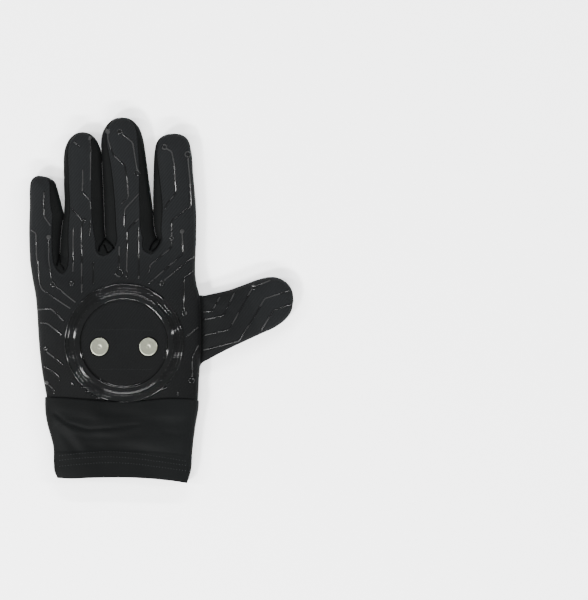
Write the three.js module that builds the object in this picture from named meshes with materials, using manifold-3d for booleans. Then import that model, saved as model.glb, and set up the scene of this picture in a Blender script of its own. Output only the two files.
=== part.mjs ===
// An electrotherapy glove for the left hand, lying palm down as it is put away, in millimetres.
// x runs towards the thumb, y towards the fingertips and z up, from the wrist line (y 0) on the floor (z 0).
// The glove is sewn from cloth panels round one hollow: a back panel that wraps the outer edges, a palm panel
// that runs on into the thumb, a thumb back, three side strips between the fingers, and a hemmed cuff.
// On the back sit a moulded dock ring and two snap studs, and on the palm ten conductive pads.
import * as THREE from "three";
import { mergeVertices } from "three/addons/utils/BufferGeometryUtils.js";
import Module from "manifold-3d";

const wasm = await Module();
wasm.setup();

// Cloth, seams and what lies on the cloth
const CLOTH = 1.2; // wall of a sewn panel
const CUFF_WALL = 1.4; // the cuff's doubled cloth
const HEM_WALL = 2.2; // the cuff's wall where its hem is turned in
const CLEARANCE = 0.3; // between pieces that touch
const PAD_THICKNESS = 1.4;
const PALM_SEAM_INSET = 2.4; // how far the back panel wraps onto the palm side

// The flattened hand
const HAND_WIDTH = 116; // across the knuckles
const HAND_LENGTH = 112; // wrist line to the middle finger's web
const HAND_THICKNESS = 18; // at the dock
const WRIST_TUCK = 8; // how far the hand runs on inside the cuff
const MOUTH = 40; // how far the hand's hollow is cut past that
const HAND_SQUARENESS = 3.2; // of its section, where 2 is an ellipse
const NOSE_DEPTH = 2.5; // how far the rounding between the knuckles runs past the hand's last row
const EDGE_WIDTH = 4; // rounding at the palm side's edge, across
const EDGE_SHARE = 0.6; // the most of a narrow section's half width that the rounding takes

// Fingers, each from its web to its tip
const LITTLE_LENGTH = 63.4;
const RING_LENGTH = 82.4;
const MIDDLE_LENGTH = 93.6;
const INDEX_LENGTH = 82.5;
const THUMB_LENGTH = 68.4;
const FINGER_THICKNESS = 12;
const THUMB_THICKNESS = 12;
const ROOT_DEPTH = 30; // how far a finger's hollow runs back into the hand
const ROOT_THICKNESS = 0.6; // there, as a share of the finger's
const END_THICKNESS = 0.92; // where the round tip begins
const FINGER_SQUARENESS = 2.4;
const TIP_SQUARENESS = 0.6; // how early the round tip thins, where 1 is a half circle

// The widest part of a side strip between two fingers, as it shows from each side
const BACK_STRIP = 8;
const PALM_STRIP = 4;

// Cuff
const CUFF_HEM_WIDTH = 95.9;
const CUFF_LENGTH_LITTLE_SIDE = 54.2;
const CUFF_LENGTH_THUMB_SIDE = 58.8;
const CUFF_HEM_THICKNESS = 13;
const CUFF_TOP_DIP = 3.2; // how far the cuff's top edge dips in its middle
const HEM_DEPTH = 13; // depth of the turned hem

// Dock ring and snap studs
const DOCK_TO_CUFF = 0.8; // from the ring to the cuff's top edge in its middle
const DOCK_ASIDE = 1; // off the hand's middle line, towards the thumb
const DOCK_INNER_RADIUS = 30.3;
const DOCK_BEAD_WIDTH = 4.4;
const DOCK_BEAD_HEIGHT = 2;
const DOCK_BAND_WIDTH = 11.1; // the whole ring's band
const DOCK_FILM = 0.6; // the ring's thin foot
const DOCK_RIB_WIDTH = 1.2;
const DOCK_RIB_HEIGHT = 1.2;
const STUD_SPACING = 34;
const STUD_BELOW_DOCK = 2.4;
const STUD_RADIUS = 6.2;
const STUD_CAP = 1;
const STUD_SHANK_RADIUS = 2;
const STUD_WASHER_RADIUS = 5;
const STUD_WASHER = 0.8;
const STUD_CHAMFER = 0.35;

// Conductive pads
const PILL_WIDTH = 12.8;
const PILL_LENGTH = 33.8;
const THUMB_PAD_LENGTH = 48;
const THUMB_PAD_WIDTH = 26.5;
const THENAR_PAD_SIDE = 56; // across the rounded triangle

// Smoothness
const TOP_STEPS = 12; // over the back of a section
const EDGE_STEPS = 3; // round each lower edge
const TIP_ANGLES = [70, 48, 27, 9]; // degrees round a fingertip's end
const DOCK_SIDES = 40;
const STUD_SIDES = 24;

const FLOOR_TO_PALM = PAD_THICKNESS + CLEARANCE;
const EDGE_HEIGHT = 0.375 * FINGER_THICKNESS; // from the flat palm side up to the widest level
const MID_Z = FLOOR_TO_PALM + EDGE_HEIGHT; // the widest level of the hand and fingers
const FAR = 400; // beyond the whole glove
const SLIVER = 0.02; // a cut's facets closer than this are merged

const lerp = (a, b, s) => a + (b - a) * s;
const radians = (degrees) => (degrees * Math.PI) / 180;

// The value of a column of a table at a share along it, on straight lines between its rows.
function column(rows, name, at) {
  const after = rows.findIndex((row) => row.at >= at);
  if (after === 0) return rows[0][name];
  if (after < 0) return rows[rows.length - 1][name];
  const [a, b] = [rows[after - 1], rows[after]];
  return lerp(a[name], b[name], (at - a.at) / (b.at - a.at));
}

// Turns a list of closed rings into a solid. A flat fan closes the first ring, and a fan to a point the last.
function loft(rings, first, last) {
  const n = rings[0].length;
  const points = [...rings.flat(), first, last];
  const faces = [];
  for (let r = 0; r + 1 < rings.length; r++) {
    for (let i = 0; i < n; i++) {
      const [a, b] = [r * n + i, r * n + ((i + 1) % n)];
      faces.push([a, b + n, b], [a, a + n, b + n]);
    }
  }
  const start = rings.length * n;
  const top = (rings.length - 1) * n;
  for (let i = 0; i < n; i++) {
    const next = (i + 1) % n;
    faces.push([start, i, next], [start + 1, top + next, top + i]);
  }
  return new wasm.Manifold(
    new wasm.Mesh({
      numProp: 3,
      vertProperties: new Float32Array(points.flat()),
      triVerts: new Uint32Array(faces.flat()),
    }),
  );
}

// A closed three.js geometry as a solid.
function solidOf(geometry) {
  const bare = geometry.clone();
  bare.deleteAttribute("normal");
  bare.deleteAttribute("uv");
  const merged = mergeVertices(bare, 1e-4);
  return new wasm.Manifold(
    new wasm.Mesh({
      numProp: 3,
      vertProperties: merged.attributes.position.array,
      triVerts: new Uint32Array(merged.index.array),
    }),
  );
}

function geometryOf(solid) {
  const mesh = solid.getMesh();
  const geometry = new THREE.BufferGeometry();
  geometry.setAttribute("position", new THREE.BufferAttribute(mesh.vertProperties, 3));
  geometry.setIndex(new THREE.BufferAttribute(mesh.triVerts, 1));
  geometry.computeVertexNormals();
  return geometry;
}

const join = (solids) => solids.reduce((a, b) => a.add(b));

// A cut leaves crumbs and slivers where two faces almost meet, so a panel is the largest body of it, smoothed
// by less than the eye can see.
function largest(solid) {
  const bodies = solid.simplify(SLIVER).decompose();
  return bodies.reduce((a, b) => (b.volume() > a.volume() ? b : a));
}

// An upright prism over an outline in plan.
function prism(outline, low, high) {
  const shape = new THREE.Shape(outline.map(([x, y]) => new THREE.Vector2(x, y)));
  const geometry = new THREE.ExtrudeGeometry(shape, { depth: high - low, bevelEnabled: false });
  return solidOf(geometry.translate(0, 0, low));
}

// A flattened section of the glove from one side to the other, as shares: across from -1 to 1, and z up.
// The back is a superellipse, and the palm side is flat with rounded edges.
function section(halfWidth, thickness, squareness, grow) {
  const w = halfWidth + grow;
  const up = thickness - EDGE_HEIGHT + grow;
  const down = EDGE_HEIGHT + grow;
  const edge = Math.min(EDGE_WIDTH + grow, w * EDGE_SHARE);
  const points = [];
  for (let i = 0; i <= TOP_STEPS; i++) {
    const a = (Math.PI * i) / TOP_STEPS;
    const c = Math.cos(a);
    const across = Math.sign(c) * Math.abs(c) ** (2 / squareness);
    points.push([w * across, MID_Z + up * Math.sin(a) ** (2 / squareness)]);
  }
  for (const side of [-1, 1]) {
    for (let i = 1; i <= EDGE_STEPS; i++) {
      const a = ((side < 0 ? i : EDGE_STEPS + 1 - i) / EDGE_STEPS) * (Math.PI / 2);
      const inward = edge * (1 - Math.cos(a));
      points.push([side * (w - inward), MID_Z - down * Math.sin(a)]);
    }
  }
  return points.map(([across, z]) => [across / w, z, w]);
}

// The hand: rows from the wrist to the knuckles. Lengths are shares of HAND_LENGTH, HAND_WIDTH and
// HAND_THICKNESS, and bow is how far a row's middle lies ahead of its ends.
const HAND_ROWS = [
  { at: 0, y_left: 0, y_right: 0, left: -0.459, right: 0.445, thick: 0.78, bow: 0 },
  { at: 0.1, y_left: 0.1, y_right: 0.1, left: -0.486, right: 0.457, thick: 0.85, bow: 0 },
  { at: 0.3, y_left: 0.3, y_right: 0.3, left: -0.512, right: 0.463, thick: 0.98, bow: 0 },
  { at: 0.5, y_left: 0.49, y_right: 0.5, left: -0.525, right: 0.463, thick: 1, bow: 0 },
  { at: 0.66, y_left: 0.61, y_right: 0.68, left: -0.537, right: 0.452, thick: 0.92, bow: 0.02 },
  { at: 0.82, y_left: 0.71, y_right: 0.86, left: -0.55, right: 0.437, thick: 0.77, bow: 0.05 },
  { at: 0.9, y_left: 0.745, y_right: 0.93, left: -0.553, right: 0.434, thick: 0.67, bow: 0.07 },
  { at: 0.95, y_left: 0.762, y_right: 0.96, left: -0.554, right: 0.433, thick: 0.5, bow: 0.08 },
];

// A row of the hand as a ring of points, grown outwards by grow.
function handRing(row, grow) {
  const a = [row.left * HAND_WIDTH, row.y_left * HAND_LENGTH];
  const b = [row.right * HAND_WIDTH, row.y_right * HAND_LENGTH];
  const half = Math.hypot(b[0] - a[0], b[1] - a[1]) / 2;
  const along = [(b[0] - a[0]) / (2 * half), (b[1] - a[1]) / (2 * half)];
  const ring = section(half, row.thick * HAND_THICKNESS, HAND_SQUARENESS, grow);
  return ring.map(([across, z, w]) => [
    (a[0] + b[0]) / 2 + along[0] * across * w,
    (a[1] + b[1]) / 2 + along[1] * across * w + row.bow * HAND_LENGTH * (1 - across * across),
    z,
  ]);
}

function handTube(grow) {
  const start = { ...HAND_ROWS[0], y_left: -WRIST_TUCK / HAND_LENGTH, y_right: -WRIST_TUCK / HAND_LENGTH };
  const rings = [start, ...HAND_ROWS].map((row) => handRing(row, grow));
  const open = grow < 0 ? MOUTH : 0;
  const outer = rings[0].map(([x, y, z]) => [x, y - open, z]);
  const last = HAND_ROWS[HAND_ROWS.length - 1];
  const end = [
    ((last.left + last.right) / 2) * HAND_WIDTH,
    ((last.y_left + last.y_right) / 2 + last.bow) * HAND_LENGTH + NOSE_DEPTH + grow,
    MID_Z,
  ];
  const all = open ? [outer, ...rings] : rings;
  return loft(all, [0, all[0][0][1], MID_Z], end);
}

// The fingers and the thumb. x and y are where each leaves the hand, as shares of HAND_WIDTH and HAND_LENGTH,
// and lean is in degrees towards the little finger. Widths are shares of HAND_WIDTH: inside the hand, at the
// web, half way up, and where the round tip begins.
const DIGITS = [
  { length: LITTLE_LENGTH, x: -0.462, y: 0.83, lean: 2.4, root: 0.15, web: 0.197, middle: 0.203, end: 0.184 },
  { length: RING_LENGTH, x: -0.23, y: 0.929, lean: 1.9, root: 0.2, web: 0.262, middle: 0.241, end: 0.219 },
  { length: MIDDLE_LENGTH, x: 0.041, y: 0.929, lean: 3.8, root: 0.2, web: 0.265, middle: 0.281, end: 0.264 },
  { length: INDEX_LENGTH, x: 0.309, y: 0.929, lean: 0.7, root: 0.18, web: 0.257, middle: 0.253, end: 0.231 },
  { length: THUMB_LENGTH, x: 0.466, y: 0.442, lean: -68.7, root: 0.33, web: 0.415, middle: 0.302, end: 0.293 },
];
const [LITTLE, RING, MIDDLE, INDEX, THUMB] = DIGITS;

for (const finger of DIGITS) {
  finger.start = [finger.x * HAND_WIDTH, finger.y * HAND_LENGTH];
  finger.along = [-Math.sin(radians(finger.lean)), Math.cos(radians(finger.lean))];
  finger.across = [finger.along[1], -finger.along[0]]; // to the right of along
  finger.thickness = finger === THUMB ? THUMB_THICKNESS : FINGER_THICKNESS;
  finger.rootShare = -ROOT_DEPTH / finger.length;
  finger.tipHalf = (HAND_WIDTH * finger.end) / 2;
  finger.tipStart = 1 - finger.tipHalf / finger.length;
  finger.rows = [
    { at: finger.rootShare, wide: finger.root, thick: ROOT_THICKNESS },
    { at: 0, wide: finger.web, thick: 1 },
    { at: 0.5, wide: finger.middle, thick: 0.98 },
    { at: finger.tipStart, wide: finger.end, thick: END_THICKNESS },
  ];
}

// A point of a finger in plan: a share along it, and millimetres to the right of its middle line.
function fingerPoint(finger, at, aside) {
  return [0, 1].map((k) => finger.start[k] + finger.along[k] * at * finger.length + finger.across[k] * aside);
}

const halfWidthAt = (finger, at) => (HAND_WIDTH * column(finger.rows, "wide", at)) / 2;

// The stations of a finger with its half width and its thickness, round its tip too.
function fingerStations(finger, grow) {
  const plain = finger.rows.map(({ at, wide, thick }) => ({
    at,
    half: (HAND_WIDTH * wide) / 2,
    thick: finger.thickness * thick,
  }));
  const start = plain[plain.length - 1];
  const round = TIP_ANGLES.map((degrees) => {
    const [s, c] = [Math.sin(radians(degrees)), Math.cos(radians(degrees))];
    return {
      at: finger.tipStart + ((finger.tipHalf + grow) / finger.length) * c,
      half: (start.half + grow) * s - grow,
      thick: EDGE_HEIGHT + (start.thick - EDGE_HEIGHT + grow) * s ** TIP_SQUARENESS - grow,
    };
  });
  return [...plain, ...round];
}

function fingerTube(finger, grow) {
  const rings = fingerStations(finger, grow).map(({ at, half, thick }) =>
    section(half, thick, FINGER_SQUARENESS, grow).map(([across, z, w]) => [
      ...fingerPoint(finger, at, across * w),
      z,
    ]),
  );
  const tipShare = 1 + grow / finger.length;
  return loft(
    rings,
    [...fingerPoint(finger, finger.rootShare, 0), MID_Z],
    [...fingerPoint(finger, tipShare, 0), MID_Z],
  );
}

// The outline of a finger in plan, taken in by inset, from its root round its tip and back.
function fingerOutline(finger, inset) {
  const stations = fingerStations(finger, -inset);
  const side = (sign) => stations.map(({ at, half }) => fingerPoint(finger, at, sign * (half - inset)));
  return [...side(1), fingerPoint(finger, 1 - inset / finger.length, 0), ...side(-1).reverse()];
}

// The outline of the hand in plan, taken in by inset at its two sides.
function handOutline(inset) {
  const left = HAND_ROWS.map((row) => [row.left * HAND_WIDTH + inset, row.y_left * HAND_LENGTH]);
  const right = HAND_ROWS.map((row) => [row.right * HAND_WIDTH - inset, row.y_right * HAND_LENGTH]);
  const last = HAND_ROWS[HAND_ROWS.length - 1];
  const nose = [-0.6, -0.2, 0.2, 0.6].map((across) => [
    lerp(last.left, last.right, (across + 1) / 2) * HAND_WIDTH,
    (lerp(last.y_left, last.y_right, (across + 1) / 2) + last.bow * (1 - across * across)) * HAND_LENGTH,
  ]);
  const wrist = -WRIST_TUCK * 2;
  const [leftWrist, rightWrist] = [[left[0][0], wrist], [right[0][0], wrist]];
  return [rightWrist, ...right, ...nose.reverse(), ...left.reverse(), leftWrist];
}

// The side strips narrow towards the fingertips: shares of their widest part, at shares of the finger.
const STRIP_ROWS = [
  { at: 0, share: 1 },
  { at: 0.5, share: 0.9 },
  { at: 0.8, share: 0.55 },
  { at: 1.3, share: 0.3 },
];

// The gap between two fingers. Its round bottom lies at a height on the back and on the palm, as shares of
// HAND_LENGTH, and the strip shows on its left and on its right by shares of its widest part.
const GAPS = [
  { name: "little_ring", left: LITTLE, right: RING, back: 0.786, palm: 0.845, on_left: 0.7, on_right: 0.5 },
  { name: "ring_middle", left: RING, right: MIDDLE, back: 0.899, palm: 0.923, on_left: 0.95, on_right: 0.95 },
  { name: "middle_index", left: MIDDLE, right: INDEX, back: 0.91, palm: 0.938, on_left: 0.75, on_right: 0.85 },
];
const GAP_HEIGHTS = [0.2, 0.45, 0.75, 1.3]; // stations up a gap, as shares of the finger
const BOTTOM_ANGLES = [150, 120, 90, 60, 30]; // degrees round a gap's bottom

function gapOutline(gap, strip, bottom, grow) {
  const seam = (finger, at, sign, share) => {
    const shown = strip * share * column(STRIP_ROWS, "share", at);
    return fingerPoint(finger, at, sign * (halfWidthAt(finger, at) - shown - grow));
  };
  const up = (finger, sign, share) => GAP_HEIGHTS.map((at) => seam(finger, at, sign, share));
  const shareAt = (finger, y) => (y - finger.start[1]) / (finger.along[1] * finger.length);
  const low = bottom * HAND_LENGTH;
  const shoulder = low + strip;
  const left = seam(gap.left, shareAt(gap.left, shoulder), 1, gap.on_left);
  const right = seam(gap.right, shareAt(gap.right, shoulder), -1, gap.on_right);
  const reach = (right[0] - left[0]) / 2;
  const arc = BOTTOM_ANGLES.map((degrees) => [
    (left[0] + right[0]) / 2 + reach * Math.cos(radians(degrees)),
    shoulder - (shoulder - low + grow) * Math.sin(radians(degrees)),
  ]);
  const leftSide = up(gap.left, 1, gap.on_left).reverse();
  return [...leftSide, left, ...arc, right, ...up(gap.right, -1, gap.on_right)];
}

const gapBlock = (gap, grow) =>
  prism(gapOutline(gap, BACK_STRIP, gap.back, grow), MID_Z, FAR).add(
    prism(gapOutline(gap, PALM_STRIP, gap.palm, grow), -FAR, MID_Z),
  );

// Where the back panel wraps onto the palm side below the thumb: shares of HAND_WIDTH and HAND_LENGTH.
const WRAP = { inner_x: 0.185, outer_x: 0.448, top_y: 0.215 };
function wrapBlock(grow) {
  const inner = WRAP.inner_x * HAND_WIDTH - grow;
  const outer = WRAP.outer_x * HAND_WIDTH;
  const top = WRAP.top_y * HAND_LENGTH + grow;
  return prism([[inner, -FAR], [FAR, -FAR], [FAR, top], [outer, top], [inner, 0]], -FAR, MID_Z);
}

// What the thumb back covers: all of the thumb outside the hand's edge.
function thumbBlock(grow) {
  const edge = HAND_ROWS.slice(1, 6).map((row) => [row.right * HAND_WIDTH - grow, row.y_right * HAND_LENGTH]);
  return prism([...edge, [FAR, edge[edge.length - 1][1]], [FAR, edge[0][1]]], -FAR, FAR);
}

const outside = join([handTube(0), ...DIGITS.map((finger) => fingerTube(finger, 0))]);
const hollow = join([handTube(-CLOTH), ...DIGITS.map((finger) => fingerTube(finger, -CLOTH))]);
const shell = outside.subtract(hollow);

function palmBlock(inset) {
  const outlines = [handOutline(inset), ...DIGITS.map((finger) => fingerOutline(finger, inset))];
  return join(outlines.map((outline) => prism(outline, -FAR, MID_Z)));
}

const SEAM = CLEARANCE / 2; // how far each panel stops short of its seam line
const gapsGrown = join(GAPS.map((gap) => gapBlock(gap, SEAM)));

const group = new THREE.Group();

function addMesh(name, geometry, material) {
  const mesh = new THREE.Mesh(geometry, material);
  mesh.name = name;
  group.add(mesh);
  return mesh;
}

const cloth = new THREE.MeshStandardMaterial({ color: 0x17181a, roughness: 0.85, metalness: 0 });
const palmCloth = new THREE.MeshStandardMaterial({ color: 0x131314, roughness: 0.9, metalness: 0 });
const silicone = new THREE.MeshStandardMaterial({ color: 0x050506, roughness: 0.15, metalness: 0 });
const silver = new THREE.MeshStandardMaterial({ color: 0xa8a791, roughness: 0.6, metalness: 0.3 });
const nickel = new THREE.MeshStandardMaterial({ color: 0xb9baae, roughness: 0.3, metalness: 1 });

// The ring's place: in the middle of the back, clear of the cuff.
const DOCK_OUTER_RADIUS = DOCK_INNER_RADIUS + DOCK_BAND_WIDTH;
const DOCK = [DOCK_ASIDE, DOCK_OUTER_RADIUS + DOCK_TO_CUFF - CUFF_TOP_DIP];

// Where the two studs pass through the back.
const studPlaces = [-0.5, 0.5].map((share) => [DOCK[0] + share * STUD_SPACING, DOCK[1] - STUD_BELOW_DOCK]);

function disc(radius, low, high, x, y, sides) {
  const geometry = new THREE.CylinderGeometry(radius, radius, high - low, sides);
  geometry.rotateX(Math.PI / 2);
  return solidOf(geometry.translate(x, y, (low + high) / 2));
}

function backPanel() {
  const palmCover = palmBlock(PALM_SEAM_INSET - SEAM).subtract(wrapBlock(-SEAM));
  const holes = studPlaces.map(([x, y]) => disc(STUD_SHANK_RADIUS + CLEARANCE, MID_Z, FAR, x, y, STUD_SIDES));
  return shell.subtract(join([palmCover, gapsGrown, thumbBlock(SEAM), ...holes]));
}

function palmPanel() {
  return shell.intersect(palmBlock(PALM_SEAM_INSET + SEAM)).subtract(join([wrapBlock(SEAM), gapsGrown]));
}

function thumbBack() {
  return shell.intersect(thumbBlock(-SEAM)).subtract(palmBlock(PALM_SEAM_INSET - SEAM));
}

const sideStrip = (gap) => shell.intersect(gapBlock(gap, -SEAM));

addMesh("back_panel", geometryOf(largest(backPanel())), cloth);
addMesh("palm_panel", geometryOf(largest(palmPanel())), palmCloth);
addMesh("thumb_back", geometryOf(largest(thumbBack())), cloth);
for (const gap of GAPS) addMesh("side_strip_" + gap.name, geometryOf(largest(sideStrip(gap))), cloth);

// The cuff: a flattened sleeve that slips over the end of the hand, with its hem turned in. Rows run from its
// top edge to the hem, and change is the share of the way from the wrist's section to the hem's.
const CUFF_ROWS = [
  { at: 0, change: 0 },
  { at: 0.18, change: 0 },
  { at: 0.45, change: 0.5 },
  { at: 0.78, change: 0.95 },
  { at: 1, change: 1 },
];
const HEM_STEP = 0.01; // the share of the length over which the wall thickens to the hem's
const CUFF_FIT = CLEARANCE + CUFF_WALL; // from the hand's outside to the cuff's

// A ring of the cuff at a share from its top edge to its hem.
function cuffRing(at, inwards, beyond = 0) {
  const change = column(CUFF_ROWS, "change", at);
  const wrist = HAND_ROWS[0];
  const halfWrist = ((wrist.right - wrist.left) * HAND_WIDTH) / 2;
  const halfWidth = lerp(halfWrist, CUFF_HEM_WIDTH / 2 - CUFF_FIT, change);
  const thickness = lerp(wrist.thick * HAND_THICKNESS, CUFF_HEM_THICKNESS - 2 * CUFF_FIT, change);
  const middle = ((wrist.left + wrist.right) * HAND_WIDTH) / 2;
  return section(halfWidth, thickness, HAND_SQUARENESS, CUFF_FIT - inwards).map(([across, z, w]) => {
    const length = lerp(CUFF_LENGTH_LITTLE_SIDE, CUFF_LENGTH_THUMB_SIDE, ((across + 1) / 2) ** 3);
    const dip = (1 - at) * CUFF_TOP_DIP * (1 - across * across);
    return [middle + across * w, -at * length - dip - beyond, z];
  });
}

function cuff() {
  const hemStart = 1 - HEM_DEPTH / CUFF_LENGTH_LITTLE_SIDE;
  const plain = CUFF_ROWS.map((row) => row.at).filter((at) => at < hemStart);
  const outer = [...plain, hemStart, 1].map((at) => cuffRing(at, 0));
  const inner = [
    cuffRing(0, CUFF_WALL, -1),
    ...[...plain, hemStart].map((at) => cuffRing(at, CUFF_WALL)),
    cuffRing(hemStart + HEM_STEP, HEM_WALL),
    cuffRing(1, HEM_WALL),
    cuffRing(1, HEM_WALL, 1),
  ];
  const closed = (rings) => {
    const middle = (ring) => [0, 1, 2].map((k) => (ring[0][k] + ring[TOP_STEPS][k]) / 2);
    return loft([...rings].reverse(), middle(rings[rings.length - 1]), middle(rings[0]));
  };
  return closed(outer).subtract(closed(inner));
}

addMesh("cuff", geometryOf(cuff()), palmCloth);

// The dock ring: a moulded film that follows the back, with a tall inner bead and two ribs.
const backCover = (low, high) => handTube(high).subtract(handTube(low));
function band(inner, outer, height) {
  const hole = disc(inner, MID_Z, FAR, ...DOCK, DOCK_SIDES);
  const round = disc(outer, MID_Z, FAR, ...DOCK, DOCK_SIDES).subtract(hole);
  return backCover(CLEARANCE, CLEARANCE + height).intersect(round);
}

function dockRing() {
  const rib = (outer) => band(outer - DOCK_RIB_WIDTH, outer, DOCK_RIB_HEIGHT);
  const ribSpace = (DOCK_OUTER_RADIUS - DOCK_INNER_RADIUS - DOCK_BEAD_WIDTH) / 2;
  return join([
    band(DOCK_INNER_RADIUS, DOCK_OUTER_RADIUS, DOCK_FILM),
    band(DOCK_INNER_RADIUS, DOCK_INNER_RADIUS + DOCK_BEAD_WIDTH, DOCK_BEAD_HEIGHT),
    rib(DOCK_OUTER_RADIUS - ribSpace),
    rib(DOCK_OUTER_RADIUS),
  ]);
}

addMesh("dock_ring", geometryOf(dockRing()), silicone);

// The height of the hand's back over a point of its middle rows.
function backHeight(x, y) {
  const at = y / HAND_LENGTH;
  const left = column(HAND_ROWS, "left", at) * HAND_WIDTH;
  const right = column(HAND_ROWS, "right", at) * HAND_WIDTH;
  const across = Math.abs((2 * (x - left)) / (right - left) - 1);
  const up = column(HAND_ROWS, "thick", at) * HAND_THICKNESS - EDGE_HEIGHT;
  return MID_Z + up * (1 - across ** HAND_SQUARENESS) ** (1 / HAND_SQUARENESS);
}

// A snap stud: a cap outside, a shank through the cloth and a washer inside, turned about its own axis.
function stud([x, y], name) {
  const towardsMiddle = x - Math.sign(x - DOCK[0]) * STUD_RADIUS;
  const seat = backHeight(towardsMiddle, y) + CLEARANCE;
  const under = backHeight(x, y) - CLOTH - 2 * CLEARANCE;
  const profile = [
    [0, under - STUD_WASHER],
    [STUD_WASHER_RADIUS, under - STUD_WASHER],
    [STUD_WASHER_RADIUS, under],
    [STUD_SHANK_RADIUS, under],
    [STUD_SHANK_RADIUS, seat],
    [STUD_RADIUS, seat],
    [STUD_RADIUS, seat + STUD_CAP - STUD_CHAMFER],
    [STUD_RADIUS - STUD_CHAMFER, seat + STUD_CAP],
    [0, seat + STUD_CAP],
  ];
  const geometry = new THREE.LatheGeometry(profile.map(([r, z]) => new THREE.Vector2(r, z)), STUD_SIDES);
  geometry.rotateX(Math.PI / 2);
  addMesh(name, geometryOf(solidOf(geometry)), nickel).position.set(x, y, 0);
}
stud(studPlaces[0], "snap_stud_little_side");
stud(studPlaces[1], "snap_stud_thumb_side");

// A conductive pad: its outline in its own plan, with flat top and bottom, sewn under the palm side.
function pad(name, outline, centre, turn) {
  const shape = new THREE.Shape(outline.map(([x, y]) => new THREE.Vector2(x, y)));
  const geometry = new THREE.ExtrudeGeometry(shape, { depth: PAD_THICKNESS, bevelEnabled: false });
  const mesh = addMesh(name, geometry, silver);
  mesh.position.set(...centre, 0);
  mesh.rotation.z = radians(turn);
}

// A pill's outline, with its length along y.
function pill(width, length) {
  const r = width / 2;
  const straight = length / 2 - r;
  const end = (from, y) =>
    [0, 30, 60, 90, 120, 150, 180].map((d) => [
      r * Math.cos(radians(from + d)),
      y + r * Math.sin(radians(from + d)),
    ]);
  return [...end(0, straight), ...end(180, -straight)];
}

// The fingers' pads: each at a share along its finger, off its middle by a share of its half width, and
// turned against it in degrees.
const PILL_PADS = [
  { name: "pad_index_tip", finger: INDEX, at: 0.72, aside: 0.12, turn: 1.5 },
  { name: "pad_index_root", finger: INDEX, at: 0.196, aside: 0.15, turn: 2.5 },
  { name: "pad_middle_tip", finger: MIDDLE, at: 0.734, aside: 0, turn: 0.5 },
  { name: "pad_middle_root", finger: MIDDLE, at: 0.263, aside: 0, turn: -0.5 },
  { name: "pad_ring_tip", finger: RING, at: 0.689, aside: -0.05, turn: -0.5 },
  { name: "pad_ring_root", finger: RING, at: 0.154, aside: 0, turn: 6 },
  { name: "pad_little", finger: LITTLE, at: 0.64, aside: 0.1, turn: 2 },
];
for (const { name, finger, at, aside, turn } of PILL_PADS) {
  const centre = fingerPoint(finger, at, aside * halfWidthAt(finger, at));
  pad(name, pill(PILL_WIDTH, PILL_LENGTH), centre, finger.lean + turn);
}

// The pads of the palm: their middles as shares of HAND_WIDTH and HAND_LENGTH.
const PALM_SIDE_PAD = { x: -0.334, y: 0.373 };
const THENAR_PAD = { x: 0.14, y: 0.375 };
const palmPlace = ({ x, y }) => [x * HAND_WIDTH, y * HAND_LENGTH];
pad("pad_palm_side", pill(PILL_WIDTH, PILL_LENGTH), palmPlace(PALM_SIDE_PAD), 0);

// The thumb's pad: an oval that is fuller towards the hand, at a share along the thumb and turned against it.
const THUMB_PAD = { at: 0.556, turn: 86, fuller: 0.16, sides: 24 };
const thumbOval = Array.from({ length: THUMB_PAD.sides }, (_, i) => {
  const a = (2 * Math.PI * i) / THUMB_PAD.sides;
  const fuller = 1 - THUMB_PAD.fuller * Math.cos(a);
  return [(THUMB_PAD_LENGTH / 2) * Math.cos(a), (THUMB_PAD_WIDTH / 2) * Math.sin(a) * fuller];
});
pad("pad_thumb", thumbOval, fingerPoint(THUMB, THUMB_PAD.at, 0), THUMB.lean + THUMB_PAD.turn);

// The ball of the thumb: a triangle with round corners, each a centre and a radius as shares of its side.
const THENAR_CORNERS = [
  { x: 0.32, y: 0.18, radius: 0.21, from: -40, to: 80 },
  { x: -0.18, y: 0.2, radius: 0.28, from: 80, to: 180 },
  { x: -0.23, y: -0.3, radius: 0.2, from: 184, to: 322 },
];
const thenar = THENAR_CORNERS.flatMap(({ x, y, radius, from, to }) =>
  [0, 0.2, 0.4, 0.6, 0.8, 1].map((s) => {
    const a = radians(lerp(from, to, s));
    return [(x + radius * Math.cos(a)) * THENAR_PAD_SIDE, (y + radius * Math.sin(a)) * THENAR_PAD_SIDE];
  }),
);
pad("pad_ball_of_thumb", thenar, palmPlace(THENAR_PAD), 0);

// The glove stands on the floor with its box centred on the origin.
const glove = new THREE.Group();
glove.add(group);
const box = new THREE.Box3().setFromObject(group, true);
group.position.set(-(box.min.x + box.max.x) / 2, -(box.min.y + box.max.y) / 2, -box.min.z);

export default glove;
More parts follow.
